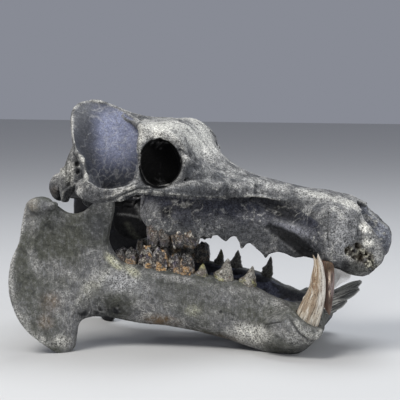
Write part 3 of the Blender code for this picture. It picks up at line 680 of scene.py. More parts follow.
def at_side(across, down, out):
    """The points at `out` metres from the middle plane, on the left side, that stand at places of the
    side view: where the ray through each place meets the plane."""
    across, down, out = (np.asarray(value, float)[..., None] for value in (across, down, out))
    ray = VIEW_AHEAD + UNIT / VIEW_DISTANCE * (
        (across - VIEW_MIDDLE) * VIEW_RIGHT - (down - VIEW_MIDDLE) * VIEW_UP
    )
    met = CAMERA_PLACE + ray * (-out - CAMERA_PLACE[1]) / ray[..., 1:2]
    met[..., 1] = out[..., 0]
    return met


def prism(outline, near, far):
    """Shell with that outline on the side view, from `near` to `far` metres out on the left side."""
    across, down = np.array(outline, float).T
    return closed_shell(at_side(across, down, np.linspace(near, far, 6)[:, None]))


TEMPLE = (
    (77.6, 110), (75, 118), (76.3, 137.6), (78.5, 149), (85.8, 157.3), (88.3, 172), (90.7, 180),
    (98.9, 185), (110.4, 186.4), (125, 183.5), (133.3, 178.5), (136.6, 162), (135.7, 144),
    (138.2, 129.5), (131.7, 119.6), (117, 109.8), (102, 105), (89, 102.5),
)  # fmt: skip
BROKEN_EDGE = (
    (193, 236), (197.5, 240), (202.7, 235.6), (208, 238.5), (211, 236), (217.5, 234.5), (222, 239),
    (226, 241.5), (230.7, 236.5), (236, 235.6), (240, 242.7), (241, 250), (246.4, 243.6), (250, 242.5),
    (254, 246), (257.7, 249.7), (262, 253), (265.6, 259), (269, 254), (277.7, 251.5), (284.7, 253),
    (291.8, 256.7), (300, 259), (306, 266), (306, 284), (193, 284),
)  # fmt: skip
BROKEN_TIP = (
    (357, 207), (362, 208.5), (360.5, 213), (364, 216.5), (363, 220), (369, 225), (374, 231.5), (377.5, 236),
    (379.5, 243), (384, 249), (392, 262), (404, 250), (404, 205), (370, 206.5),
)  # fmt: skip


def cranium_hollows():
    """What is taken out of the cranium: temples, eye sockets, ears, nose, throat, brain opening, the
    sockets of lost teeth, and the broken edges of the jaw and the tip."""
    nostril = [
        (0.140, 0, 0.014, 0.215, 0.228, 0.204, 2, 2),
        (0.190, 0, 0.030, 0.208, 0.232, 0.186, 2, 2.4),
        (0.235, 0, 0.034, 0.204, 0.233, 0.174, 2.2, 2.4),
        (0.262, 0, 0.036, 0.206, 0.262, 0.168, 2.2, 2.4),
        (0.300, 0, 0.040, 0.206, 0.280, 0.160, 2.2, 2.4),
    ]
    slot = [
        (0.246, 0, 0.004, 0.150, 0.19, 0.110, 2, 2),
        (0.268, 0, 0.013, 0.150, 0.19, 0.100, 3, 3),
        (0.300, 0, 0.022, 0.150, 0.20, 0.100, 3, 3),
    ]
    throat = [
        (-0.120, 0, 0.024, 0.205, 0.226, 0.180, 2.4, 2.4),
        (-0.080, 0, 0.023, 0.205, 0.224, 0.180, 2.4, 2.4),
        (-0.052, 0, 0.016, 0.205, 0.218, 0.190, 2, 2),
    ]
    x, y, z = ORBIT
    a, b = ORBIT_HALF
    back, deep, drop = ORBIT_BEND
    eye = [
        (x + 0.004, y + 0.045, z + 0.001, a * 1.10, b * 1.06),
        (x, y + 0.010, z, a, b),
        (x - 0.004, y - 0.030, z - 0.004, a * 0.98, b * 0.92),
        (x - back, y - deep, z - drop, a * 0.7, b * 0.6),
    ]
    sockets = [
        ball((sx, UPPER_TOOTH_Y - drop, sz), (0.0085, 0.0095, 0.013))
        for sx, drop, sz in (
            (0.004, 0.000, 0.172),
            (0.024, 0.002, 0.168),
            (0.050, 0.006, 0.160),
            (0.074, 0.010, 0.154),
        )
    ]
    sides = [
        prism(TEMPLE, 0.066, 0.190),
        prism(BROKEN_EDGE, 0.030, 0.110),
        tube(eye, (1, 0, 0), along=50, around=64),
        ball((-0.190, 0.128, 0.286), (0.007, 0.026, 0.010)),
        ball((0.194, 0.062, 0.146), (0.016, 0.012, 0.020)),
        ball((0.262, 0.056, 0.136), (0.013, 0.012, 0.016)),
    ]
    middle = [loft(nostril), loft(slot, along=30), loft(throat, along=30)]
    middle += [ball((-0.252, 0, 0.268), (0.034, 0.016, 0.014)), mirrored(prism(BROKEN_TIP, 0.020, 0.110))]
    return middle + both_sides(sides + sockets)


CHEEK_LEDGE = (
    (120, 199), (134, 194), (150, 193.5), (170, 195.5), (200, 198), (230, 198.5), (253, 197), (266, 198.5),
    (278, 201.5), (299, 210), (312, 218), (322, 225),
)  # fmt: skip
CANINE_FOLD = (
    (268, 226), (281, 228.5), (295, 235), (308, 245), (318, 257), (312, 262), (301, 254), (290, 245),
    (279, 236),
)  # fmt: skip
SPONGE = (
    (351, 251, 9, 7, 0.02, 1),
    (361, 256, 13, 9, 0.02, 1),
    (369, 260, 10, 10, 0.02, 1),
    (373, 268, 7, 9, 0.02, 1),
    (356, 246, 10, 5, 0.02, 1),
)


def wear_cranium(skin):
    """Relief of the cranium: broad hollows first, then ridges, seams and holes, then the worn grain."""
    skin.relax(3)
    temple = inside(skin, TEMPLE, 3) * ease(-0.75, -0.45, skin.normals[:, 0])
    skin.flatten(temple, 300)
    skin.push(0.0035 * line_mask(skin, CHEEK_LEDGE[:9], 4.5, 0.030))
    skin.push(-0.0075 * under(skin, CHEEK_LEDGE, 24, 0.030))
    skin.push(-0.0070 * spot(skin, 284, 212, 34, 11, 23, 0.020))
    skin.push(-0.0090 * inside(skin, CANINE_FOLD, 5) * ease(0.0, 0.3, skin.facing))
    skin.flatten(0.9 * spot(skin, 300, 240, 34, 26, 40, 0.02) ** 0.5, 10)
    skin.flatten(0.9 * spot(skin, 203, 136, 20, 26, -40) ** 0.5, 60)
    skin.flatten(spot(skin, 304, 215, 34, 22, 20, 0.02) ** 0.5, 60)
    skin.flatten(spot(skin, 222, 216, 90, 16, 3, 0.02) ** 0.5, 14)
    # Hollows in front of the eye, behind the ear and above the rear molars.
    dents = (
        (192, 168, 12, 9, 30, 0.100, 0.0015),
        (213, 178, 16, 9, 20, 0.080, 0.0015),
        (240, 176, 22, 6, 16, 0.050, 0.0015),
        (66, 186, 7, 10, 0, 0.050, 0.0030),
        (152, 207, 6, 8, 0, 0.030, -0.0030),
        (166, 208, 7, 8, 0, 0.030, 0.0035),
        (86, 205, 8, 4, 0, 0.110, 0.0020),
    )
    skin.dent(dents)
    # Ridges and grooves of the cheek arch, the eye, the canine's swelling, the ear and the tip.
    lines = (
        (((101, 203), (112, 200), (124, 194), (136, 189), (150, 188.5)), 2.2, 0.120, -0.0024),
        (((98, 199), (110, 196), (123, 190.5), (135, 186.5)), 2.6, 0.120, 0.0014),
        (((180, 150), (184, 152), (190, 155), (197, 162)), 2.6, 0.090, -0.0034),
        (((182, 157), (188, 159), (193, 163)), 3.2, 0.090, 0.0020),
        (((328.5, 214), (327.5, 230), (328.5, 246)), 1.8, 0.040, -0.0016),
        (((245, 225), (250, 222), (258, 223.5), (268, 229)), 2.2, 0.030, -0.0012),
        (((202, 160), (214, 170), (226, 176), (245, 181)), 2.6, 0.060, -0.0012),
        (((196, 168), (200, 178), (206, 186)), 2.2, 0.080, -0.0012),
        (((258, 178), (290, 184), (330, 196), (352, 203)), 1.8, 0.020, -0.0010),
        (((69.5, 160), (70, 172), (69, 186)), 2.0, 0.060, -0.0026),
        (((75, 152), (81, 156), (86, 164), (87.5, 173), (85, 182)), 3.6, 0.085, 0.0034),
        (((75, 184), (69, 188), (63.5, 192), (62.5, 198)), 2.2, 0.030, 0.0028),
        (((76, 188), (71, 192), (68, 199)), 2.4, 0.030, -0.0036),
        (((59, 186), (60, 198)), 2.0, 0.030, -0.0030),
        (((356, 207), (360, 216), (366, 224), (372, 231)), 2.4, 0.030, 0.0016),
    )
    skin.score(lines)
    # Holes for nerves and blood vessels.
    holes = (
        (180, 120, 1.6, 0.0),
        (176, 117, 1.2, 0.0),
        (201, 152, 1.6, 0.09),
        (206, 158, 1.8, 0.08),
        (312, 251, 2.0, 0.06),
        (77.3, 164, 3.4, 0.07),
        (78.2, 172, 3.4, 0.07),
        (77.3, 164, 3.0, 0.07),
        (78.2, 172, 3.0, 0.07),
        (244, 203, 1.8, 0.04),
        (232, 190, 1.5, 0.06),
        (334, 232, 1.5, 0.05),
        (221, 168, 1.5, 0.06),
        (350, 222, 1.4, 0.05),
        (345, 241, 1.6, 0.05),
        (318, 236, 1.3, 0.06),
        (291, 199, 1.4, 0.03),
        (262, 193, 1.4, 0.03),
    )
    skin.pierce(holes, 0.0028)
    # Where the surface is coarse: behind the ear, the tip, the tooth edge, the cheek and the crest.
    rough_places = (
        (62, 178, 18, 26, 0.03, 1.0),
        (79, 168, 7, 14, 0.09, 0.6),
        (359, 254, 20, 20, 0.02, 1.6),
        (366, 230, 16, 18, 0.02, 0.9),
        (230, 240, 46, 9, 0.03, 0.9),
        (152, 210, 12, 12, 0.03, 0.7),
        (190, 165, 30, 22, 0.08, 0.45),
        (300, 200, 60, 22, 0.03, 0.35),
        (84, 104, 22, 8, 0.0, 0.5),
    )
    coarse = roughest(skin, rough_places)
    lumps = rubble(skin.points, 0.0075, 3, seed=3)
    fine = rubble(skin.points, 0.0040, 2, seed=9)
    swell = cloud(skin.points, 0.030, seed=5)
    calm = 1 - 0.85 * temple
    skin.push(0.0007 * swell * calm + 0.00034 * fine * calm + coarse * (0.0011 * lumps - 0.0004))
    pits = ease(0.60, 0.9, cloud(skin.points, 0.0048, seed=21)) * ease(0.0, 0.6, swell)
    skin.push(-0.0009 * pits * calm)
    sponge = np.clip(roughest(skin, SPONGE) * (1.0 + 0.9 * lumps), 0, 1)
    cells = ease(0.0, 0.30, rubble(skin.points, 0.0050, 2, seed=23)) * ease(0.10, 0.45, sponge)
    skin.push(-0.0020 * ease(0.1, 0.5, sponge) - 0.0050 * cells)
    skin.push(0.0024 * spot(skin, 369, 244, 8, 6, 0, 0.02) + 0.0016 * spot(skin, 364, 227, 10, 6, 20, 0.02))
    skin.push(0.0026 * lumps * spot(skin, 366, 246, 26, 44, 0, 0.02))
    return temple, sponge, cells


INK = np.array([0.010, 0.010, 0.011])
CHARCOAL = np.array([0.034, 0.035, 0.038])
SLATE = np.array([0.105, 0.108, 0.114])
ASH = np.array([0.215, 0.215, 0.215])
CHALK = np.array([0.40, 0.395, 0.375])
CREAM = np.array([0.52, 0.51, 0.465])
SKY_REFLECTION_BLUE = np.array([0.200, 0.220, 0.320])
SHADOW_BLUE = np.array([0.038, 0.040, 0.055])
OLIVE = np.array([0.125, 0.128, 0.105])
OCHRE = np.array([0.33, 0.22, 0.12])
UMBER = np.array([0.17, 0.115, 0.068])


def paint(tone, mask, colour):
    """Covers the tone with a colour, as far as the mask says, and gives the tone."""
    mask = np.clip(mask, 0, 1)[:, None]
    tone[:] = tone * (1 - mask) + colour * mask
    return tone


def in_hollows(skin, least):
    """1 in a broad hollow deeper than `least` metres, and in a narrow one."""
    broad = ease(least, 0.0030, -skin.spread(skin.bulge(28), 4))
    return np.maximum(broad, ease(0.0001, 0.0007, -skin.bulge(4)))


def keep_look(skin, tone, sheen):
    """Stores what the bone's finish reads: the tone, how chalky it is, and how polished."""
    skin.keep("tone", tone)
    skin.keep("chalky", np.clip(tone.mean(1) / CREAM.mean(), 0, 1))
    skin.keep("sheen", sheen)


def hidden_side(skin):
    """1 on faces that look towards the middle plane, and so into the mouth and the braincase."""
    inward = -skin.normals[:, 1] * np.sign(skin.points[:, 1])
    return ease(0.25, 0.6, inward) * ease(0.135, 0.12, np.abs(skin.points[:, 1]))


def faded(mask, noise, bite=0.5):
    """A soft mask made uneven by noise."""
    return np.clip(mask * (1 + bite * noise), 0, 1)


def daub(tone, skin, marks, noise, bite=0.5, soften=1.0, spread=1.0, where=1.0):
    """Paints a soft oval of colour for each mark: across, down, width, height, turn, distance out, colour
    and strength. The oval to the power `soften` is made uneven by noise, then taken to the power `spread`,
    and stays within the mask `where`."""
    for *oval, colour, share in marks:
        mask = faded(spot(skin, *oval) ** soften, noise, bite) ** spread
        paint(tone, share * mask * where, colour)


SKY_SHEEN_MIDDLE, SKY_SHEEN_REACH = (118, 133), (30, 38)
ORBIT_SEEN_AT, ORBIT_SEEN_REACH = (160.9, 162.6), (19.6, 23.2)


def eye_socket_shade(skin, open_bone):
    """Where an eye socket is painted black as its shade: 1 inside it, within the mask `open_bone`, on faces
    near its rim that look towards its axis, and further in on what the side view shows through the rim. The
    axis and the width bend and narrow as the hollow does."""
    x, y, z = ORBIT
    back, deep, drop = ORBIT_BEND
    depth = np.abs(skin.points[:, 1])
    inner = np.clip((y - depth) / deep, 0, 1) ** 2
    away = np.column_stack([skin.points[:, 0] - x + back * inner, skin.points[:, 2] - z + drop * inner])
    away = away / ORBIT_HALF / (1 - 0.35 * inner[:, None])
    reach = np.linalg.norm(away, axis=1)
    inward = -np.sum(away * skin.normals[:, [0, 2]], axis=1) / np.maximum(reach, 1e-6)
    near_rim = np.maximum(ease(0.128, 0.121, depth) * ease(-0.5, 0.0, inward), ease(0.25, 0.6, inward))
    seen = ease(1.09, 1.03, np.hypot(*((skin.place - ORBIT_SEEN_AT) / ORBIT_SEEN_REACH).T))
    far_in = ease(0.120, 0.112, depth) * np.maximum(ease(1.95, 1.75, reach), seen)
    far_in *= ease(0.6, 0.4, skin.normals[:, 2])
    black = np.maximum(near_rim * ease(1.16, 1.06, reach), far_in * ease(-0.6, -0.2, inward))
    return black * (ease(0.015, 0.025, depth) * open_bone)


def paint_cranium(skin, temple, sponge, cells):
    """Colour of the cranium: mottled slate, chalky where it is worn, chalk dust and painted skylight where it
    faces up, and painted shade in every hollow, under the cheek ledge and inside the eye sockets, nose, mouth
    and throat.
    """
    points = skin.points
    across, down = skin.place.T
    broad, middle, small = (
        rubble(points, 0.045, 3, seed=31),
        rubble(points, 0.012, 3, seed=37),
        rubble(points, 0.0048, 2, seed=41),
    )
    share = ease(-0.5, 0.9, broad)[:, None]
    tone = SLATE * 0.95 * (1 - share) + ASH * 0.85 * share
    paint(tone, 0.45 * ease(0.0, 0.9, middle), ASH * 1.15)
    paint(tone, 0.45 * ease(0.1, 0.9, -small), CHARCOAL * 1.6)
    # The temple is a polished bowl, with a painted blue sky reflection in its upper middle and painted shade
    # round its low, rear and top edge.
    bowl = np.hypot(*((skin.place - SKY_SHEEN_MIDDLE) / SKY_SHEEN_REACH).T)
    deep = ease(0.40, 1.10, bowl + 0.10 * middle)[:, None]
    paint(tone, 0.97 * temple, SKY_REFLECTION_BLUE * (0.98 - 0.60 * deep) * (1 + 0.16 * middle[:, None]))
    paint(tone, 0.75 * temple * ease(160, 184, down + 5 * middle), CHARCOAL * 1.3)
    paint(tone, 0.80 * temple * ease(101, 84, across + 4 * middle), SLATE * 0.75)
    paint(tone, 0.4 * temple * ease(122, 106, down + 3 * middle), SLATE)
    # Broad patches of darker and paler bone, and painted shade in the waist of the muzzle.
    patches_and_painted_shade = (
        (235, 232, 50, 9, 0, 0.02, SLATE * 0.85, 0.6),
        (205, 176, 46, 26, 10, 0.06, SLATE, 0.75),
        (290, 198, 44, 9, 15, 0.02, SLATE * 0.95, 0.7),
        (343, 234, 26, 34, 0, 0.03, ASH * 1.5, 0.85),
        (292, 230, 36, 9, 14, 0.02, ASH * [1.6, 1.63, 1.85], 0.95),
        (360, 256, 18, 14, 0, 0.02, UMBER * 0.7, 0.55),
        (64, 172, 16, 26, 0, 0.03, CHALK * 0.8, 0.7),
    )
    daub(tone, skin, patches_and_painted_shade, middle)
    # Chalk dust and painted skylight lie on what faces up: the brow, the roof of the muzzle and the crests.
    upward = ease(0.15, 0.8, skin.normals[:, 2]) * ease(0.17, 0.21, points[:, 2])
    open_bone = 1 - 0.92 * temple
    paint(tone, 0.65 * upward * open_bone * ease(-0.9, 0.5, middle + 0.3 * small), CHALK * 0.88)
    chalk_patches = (
        (190, 126, 52, 26, 8, 0.02, CREAM * 1.05, 0.95),
        (158, 128, 26, 14, -10, 0.06, CREAM, 1.0),
        (140, 133, 4.5, 28, 0, 0.08, CREAM * 0.78, 1.0),
        (206, 138, 22, 28, -40, 0.0, CREAM * 1.3, 1.0),
        (71, 171, 4.5, 15, 0, 0.03, CREAM * 0.9, 0.9),
        (270, 185, 50, 5, 14, 0.02, CHALK, 0.5),
        (328, 197, 44, 5, 15, 0.02, CREAM, 0.6),
        (350, 203, 18, 7, 12, 0.02, CREAM, 0.95),
        (366, 226, 8, 12, 40, 0.02, CHALK, 0.8),
        (366, 242, 10, 8, 0, 0.02, CREAM, 0.9),
        (73, 128, 4, 32, 2, 0.0, CHALK, 0.8),
        (90, 100, 18, 4, 6, 0.0, CREAM, 0.8),
        (83, 158, 7, 6, 40, 0.08, CREAM, 0.9),
        (87.5, 171, 4, 14, -4, 0.08, CREAM, 0.9),
        (366.5, 229, 8, 5, 45, 0.02, CREAM, 0.95),
        (62, 171, 9, 7, 0, 0.03, CREAM * 0.9, 0.8),
        (80, 191, 8, 7, 0, 0.11, CHALK, 0.75),
        (176, 176, 12, 14, 30, 0.1, CHALK * 0.8, 0.5),
        (188, 160, 9, 8, 0, 0.09, CHALK, 0.7),
        (56, 172, 10, 7, 0, 0.03, CHALK, 0.6),
        (128, 193, 22, 3, -18, 0.12, CHALK * 0.8, 0.6),
        (68, 181, 5.5, 8, 0, 0.03, CREAM * 1.2, 1.0),
    )
    daub(tone, skin, chalk_patches, middle, 0.8, spread=0.7, where=open_bone)
    # The face under the cheek ledge is painted blue black as its shadow, with patches of its own: paler bone,
    # and painted black shade in the waist of the muzzle, the hollow behind the tooth wall and the ear's
    # holes.
    shade = under(skin, CHEEK_LEDGE, 34, 0.026)
    strip = 1 - 0.85 * spot(skin, 292, 231, 36, 10, 14, 0.02) ** 0.5
    paint(tone, 0.95 * strip * faded(shade, middle, 0.25) ** 0.6, SHADOW_BLUE * 1.25)
    shaded_patches = (
        (282, 211, 33, 9.5, 23, 0.02, CHARCOAL * 0.75, 1.0),
        (186, 207, 22, 6, 2, 0.02, CHARCOAL * 0.8, 0.8),
        (151, 211, 13, 13, 0, 0.03, ASH * 0.95, 0.85),
        (140, 211, 4.5, 10, -20, 0.03, ASH * 1.1, 0.85),
        (167, 212, 9, 8, 0, 0.03, INK * 1.2, 0.9),
        (184, 218, 10, 14, 0, 0.03, SHADOW_BLUE * 0.9, 0.6),
        (222, 222, 20, 9, 10, 0.03, ASH * 0.9, 0.5),
        (288, 199, 40, 8, 15, 0.02, SLATE * 0.95, 0.6),
        (185, 231, 26, 6, 8, 0.03, ASH * 0.7, 0.6),
        (77.5, 164, 2.8, 3.6, 0, 0.07, INK * 0.6, 0.95),
        (78.3, 172, 2.8, 4.2, 20, 0.07, INK * 0.6, 0.95),
        (66.2, 171, 1.3, 16, 0, 0.03, OLIVE * 0.35, 0.8),
        (54, 192, 6, 8, 0, 0.0, UMBER * 0.6, 0.45),
        (110, 196, 20, 7, -6, 0.12, SLATE * 0.7, 0.65),
    )
    daub(tone, skin, shaded_patches, middle, 0.3, soften=0.5)
    # Pale cracks, scratches and specks, painted shade in the fold behind the canine, then pale worn edges and
    # painted shade in the hollows.
    lines = veins(points, 0.016, 43) * ease(-0.3, 0.5, broad + 0.5 * middle)
    paint(tone, 0.45 * lines * (1 - 0.3 * shade) * open_bone, CREAM)
    scratches = np.maximum(veins(points, 0.010, 45) * ease(140, 168, down), veins(points, 0.018, 49))
    paint(tone, 0.28 * scratches * temple, CHALK)
    paint(tone, 0.6 * ease(0.45, 0.75, small) * ease(-0.2, 0.4, middle) * open_bone, CHALK)
    paint(tone, 0.30 * veins(points, 0.011, 47) * ease(0.3, -0.5, broad), CHARCOAL)
    paint(tone, 0.97 * inside(skin, CANINE_FOLD, 3.0) * ease(0, 0.3, skin.facing), CHARCOAL * 0.5)
    edge = ease(0.00012, 0.0007, skin.spread(skin.bulge(3), 1)) * ease(-0.7, 0.4, middle)
    paint(tone, 0.7 * edge * (1 - 0.8 * shade), CREAM)
    deep = in_hollows(skin, 0.0004)
    slope = spot(skin, 203, 137, 26, 24, -40) ** 0.5
    paint(tone, 0.6 * deep * (1 - 0.9 * temple) * (1 - 0.9 * slope), CHARCOAL)
    # The broken tip: painted shade below, brown sponge with its cells painted black as shade, and chalky
    # lumps above it.
    tip_patches = (
        (362, 269, 22, 11, 0, 0.02, OLIVE * 0.6, 0.75),
        (343, 268, 12, 9, 0, 0.02, INK * 1.5, 0.9),
        (376, 252, 9, 13, 0, 0.02, CHALK, 0.9),
    )
    daub(tone, skin, tip_patches, middle, 0.8, soften=0.6)
    hollow = ease(0.08, 0.45, sponge + 0.15 * small * (sponge > 0))
    paint(tone, 0.75 * hollow, UMBER * [0.50, 0.62, 0.72])
    paint(tone, 0.95 * cells, UMBER * 0.16)
    paint(tone, 0.9 * hollow * (1 - cells) * ease(0.0, 0.6, small), CREAM * [0.95, 0.93, 0.80])
    lump = ease(0.10, 0.45, spot(skin, 369, 244, 9, 6, 0, 0.02))
    lump += ease(0.1, 0.4, spot(skin, 364, 228, 9, 6, 30, 0.02))
    paint(tone, lump * ease(-1.0, -0.1, small), CREAM * 1.25)
    # The eye socket is painted black as its shade.
    paint(tone, eye_socket_shade(skin, open_bone), INK * 0.25)
    # Painted shade in the nose, the inside of the mouth and the throat; pale blue grey bone at the front of
    # the nose; and a brown sheet and pale ridges over painted black shade on the thin plates in the gap
    # behind the last molar.
    in_nose = ease(0.043, 0.036, np.abs(points[:, 1])) * ease(0.226, 0.22, points[:, 2])
    front = ease(0.225, 0.240, points[:, 0])
    paint(tone, 0.8 * in_nose * ease(0.13, 0.15, points[:, 0]) * (1 - front), CHARCOAL)
    paint(tone, 0.9 * in_nose * front, ASH * [0.95, 1.0, 1.15] * (1 + 0.35 * middle[:, None]))
    paint(tone, 0.8 * in_nose * front * ease(0.2, 0.6, small), CREAM * 0.8)
    brow_end = ease(0.4, 0.7, skin.normals[:, 0]) * ease(0.285, 0.295, points[:, 2])
    paint(tone, 0.95 * hidden_side(skin) * (1 - front) * (1 - brow_end), INK)
    throat = ease(0.054, 0.046, np.abs(points[:, 1])) * ease(0.236, 0.230, points[:, 2])
    paint(tone, throat * ease(-0.088, -0.094, points[:, 0]), INK * 1.2)
    within = ease(0.062, 0.052, np.abs(points[:, 1])) * ease(-0.05, -0.07, points[:, 0])
    for line, wide, colour in (
        (((127, 224), (136, 237), (147, 247)), 5.0, OLIVE * 0.42),
        (((118, 214), (130, 215), (142, 218)), 2.0, ASH * 0.6),
        (((134, 203), (139, 210), (142, 218)), 3.5, ASH * 0.7),
    ):
        paint(tone, 0.85 * within * line_mask(skin, line, wide), colour)
    # Painted shade on the low faces near the middle, under the palate.
    low = ease(0.4, 0.8, -skin.normals[:, 2]) * ease(0.062, 0.05, np.abs(points[:, 1]))
    paint(tone, 0.9 * low * ease(0.24, 0.22, points[:, 2]), INK * 1.5)
    keep_look(skin, tone, temple)


class Term:
    """A shader socket that sums, products and comparisons can be written with."""

    def __init__(self, finish, socket):
        self.finish, self.socket = finish, socket

    def maths(self, operation, other, swap=False):
        """One operation on this socket and another, or a number."""
        pair = (other, self) if swap else (self, other)
        return self.finish.node("ShaderNodeMath", {"operation": operation}, dict(enumerate(pair)))

    def __add__(self, other):
        return self.maths("ADD", other)

    def __sub__(self, other):
        return self.maths("SUBTRACT", other)

    def __rsub__(self, other):
        return self.maths("SUBTRACT", other, swap=True)

    def __mul__(self, other):
        return self.maths("MULTIPLY", other)

    __radd__, __rmul__ = __add__, __mul__


class Finish:
    """A material under construction."""

    def __init__(self, name):
        self.material = bpy.data.materials.new(name)
        self.material.use_nodes = True
        self.tree = self.material.node_tree
        self.shader = self.tree.nodes["Principled BSDF"]

    def set(self, socket, value):
        """Links a term, or sets a value, on a socket."""
        if isinstance(value, Term):
            self.tree.links.new(value.socket, socket)
        elif isinstance(value, (tuple, np.ndarray)):
            socket.default_value = (*value, 1.0) if len(socket.default_value) > len(value) else tuple(value)
        else:
            socket.default_value = value

    def node(self, kind, settings=None, values=None, out=0):
        """A node of that kind with its settings, then its sockets' values or links; gives one output."""
        made = self.tree.nodes.new(kind)
        for key, value in (settings or {}).items():
            setattr(made, key, value)
        for key, value in (values or {}).items():
            self.set(made.inputs[key], value)
        return Term(self, made.outputs[out])

    def place(self, scale=(1, 1, 1), turn=(0, 0, 0), start=None):
        """The piece's own coordinates, or the ones given, scaled and turned."""
        start = start or self.node("ShaderNodeTexCoord", out="Object")
        return self.node("ShaderNodeMapping", values={"Vector": start, "Scale": scale, "Rotation": turn})

    def attribute(self, name, out="Fac"):
        """What the piece's points store under that name."""
        return self.node("ShaderNodeAttribute", {"attribute_name": name}, out=out)

    def noise(self, where, scale, detail=4.0, rough=0.55):
        """Cloudy noise, about 0.5."""
        values = {"Vector": where, "Scale": scale, "Detail": detail, "Roughness": rough}
        return self.node("ShaderNodeTexNoise", values=values)

    def between(self, low, high, value):
        """0 below low and 1 above high, smoothly."""
        values = {"Value": value, "From Min": low, "From Max": high}
        return self.node("ShaderNodeMapRange", {"interpolation_type": "SMOOTHSTEP"}, values)

    def mix(self, share, first, second, how="MIX"):
        """Colour mix: the share is 0 for the first and 1 for the second."""
        settings = {"data_type": "RGBA", "blend_type": how}
        return self.node("ShaderNodeMix", settings, {0: share, 6: first, 7: second}, out=2)

    def grey(self, value):
        """A number as an equal red, green and blue."""
        return self.node("ShaderNodeCombineColor", values={0: value, 1: value, 2: value})

    def bump(self, height, strength, distance):
        """Fine relief too small for the mesh."""
        values = {"Height": height, "Strength": strength, "Distance": distance}
        return self.node("ShaderNodeBump", values=values)

    def done(self, colour, roughness, normal, **fixed):
        """The material, with its colour, roughness, relief and any fixed values set."""
        for name, value in (("Base Color", colour), ("Roughness", roughness), ("Normal", normal)):
            self.set(self.shader.inputs[name], value)
        for name, value in fixed.items():
            self.set(self.shader.inputs[name.replace("_", " ")], value)
        return self.material


def bone_finish(name):
    """Mineralised bone: the painted tone, broken up by mottling, fibres, chalk specks and dark pores."""
    look = Finish(name)
    where = look.place()
    tone = look.attribute("tone", out="Color")
    chalky, sheen = look.attribute("chalky"), look.attribute("sheen")
    warp = look.noise(where, 60.0, 2.0, 0.5)
    mottle = look.noise(where, 180.0, 5.0, 0.7)
    grain = look.noise(where, 480.0, 3.0, 0.6)
    specks = look.noise(where, 800.0, 2.0, 0.5)
    fibre = look.noise(look.place((120.0, 900.0, 900.0), (0.0, 0.35, 0.1)), 1.0, 3.0, 0.6)
    scratch = look.noise(look.place((560.0, 560.0, 50.0), (0.3, 1.0, 0.0)), 1.0, 3.0, 0.6)
    cross = look.noise(look.place((560.0, 560.0, 50.0), (0.1, -0.7, 0.4)), 1.0, 3.0, 0.6)
    pores = look.node("ShaderNodeTexVoronoi", values={"Vector": where, "Scale": 380.0}, out="Distance")
    coarse = 0.30 + 0.75 * look.between(0.1, 0.7, chalky)
    light = 0.40 + 0.60 * look.between(0.36, 0.64, mottle) + coarse * (look.between(0.38, 0.62, grain) - 0.25)
    light = light * (0.80 + 0.40 * look.between(0.35, 0.65, fibre)) * (0.80 + 0.40 * warp)
    light = light * (1.0 - 0.6 * sheen) + 0.57 * sheen
    colour = look.mix(1.0, tone, look.grey(light), "MULTIPLY")
    clean = look.between(0.03, 0.45, chalky)
    dust = look.between(0.55, 0.66, specks) * look.between(0.40, 0.60, grain)
    dust = dust * (0.15 * clean + 0.75 * chalky) * (1.0 - 0.5 * sheen)
    colour = look.mix(dust, colour, (0.60, 0.585, 0.53))
    lines = look.between(0.57, 0.66, scratch) + look.between(0.58, 0.68, cross)
    lines = lines * clean * (0.10 + 0.35 * sheen) * look.between(0.35, 0.6, mottle)
    colour = look.mix(lines, colour, (0.42, 0.43, 0.47))
    pore = look.between(0.32, 0.14, pores) * look.between(0.50, 0.60, mottle) * (0.9 - 0.75 * sheen)
    colour = look.mix(pore, colour, (0.012, 0.011, 0.010))
    height = mottle * 0.9 + grain * 0.7 + specks * 0.25 + fibre * 0.25 - pore * 0.9
    height = height * (1.0 - 0.75 * sheen)
    rough = 0.55 + 0.28 * mottle + 0.14 * chalky - 0.14 * sheen
    return look.done(colour, rough, look.bump(height, 0.8, 0.0014), Specular_IOR_Level=0.08)


CUT_TOLERANCE = 1e-7


def cut_at(bm, place, away):
    """Cuts a mesh along the plane through `place` square to `away`, drops what lies that way, and closes
    the cut with one face."""
    plane = {"plane_co": place, "plane_no": away, "clear_outer": True, "dist": CUT_TOLERANCE}
    cut = bmesh.ops.bisect_plane(bm, geom=bm.verts[:] + bm.edges[:] + bm.faces[:], **plane)
    rim = [e for e in cut["geom_cut"] if isinstance(e, bmesh.types.BMEdge)]
    bmesh.ops.holes_fill(bm, edges=rim, sides=0)


def split_off(whole, name, low_x, high_x):
    """The share of the skin between two planes across X, or past one, closed where it is cut, with the
    shading of the whole: each point keeps the normal that it had before the cut."""
    bm = bmesh.new()
    bm.from_mesh(whole.data)
    for x, way in ((low_x, -1), (high_x, 1)):
        if x is not None:
            cut_at(bm, (x, 0, 0), (way, 0, 0))
    mesh = bpy.data.meshes.new(name)
    bm.to_mesh(mesh)
    bm.free()
    made = bpy.data.objects.new(name, mesh)
    scene.collection.objects.link(made)
    mesh.shade_smooth()
    normals = np.zeros(len(mesh.vertices) * 3, np.float32)
    mesh.attributes["whole_normal"].data.foreach_get("vector", normals)
    normals = normals.reshape(-1, 3)
    normals /= np.maximum(np.linalg.norm(normals, axis=1), 1e-9)[:, None]
    mesh.normals_split_custom_set_from_vertices(normals.tolist())
    return made


cranium = fused(
    "cranium_bone",
    braincase() + crests() + cheek_arches() + forehead() + snout() + tooth_walls(),
    CRANIUM_CELL,
)
one_skin(carved(cranium, fused("hollows", cranium_hollows(), CRANIUM_CELL)), CRANIUM_CELL)
skin = Skin(cranium)
worn = wear_cranium(skin)
skin.hold_inside(cad_box)
paint_cranium(skin, *worn)
stored = cranium.data.attributes.new("whole_normal", "FLOAT_VECTOR", "POINT")
stored.data.foreach_set("vector", skin.normals.astype(np.float32).ravel())

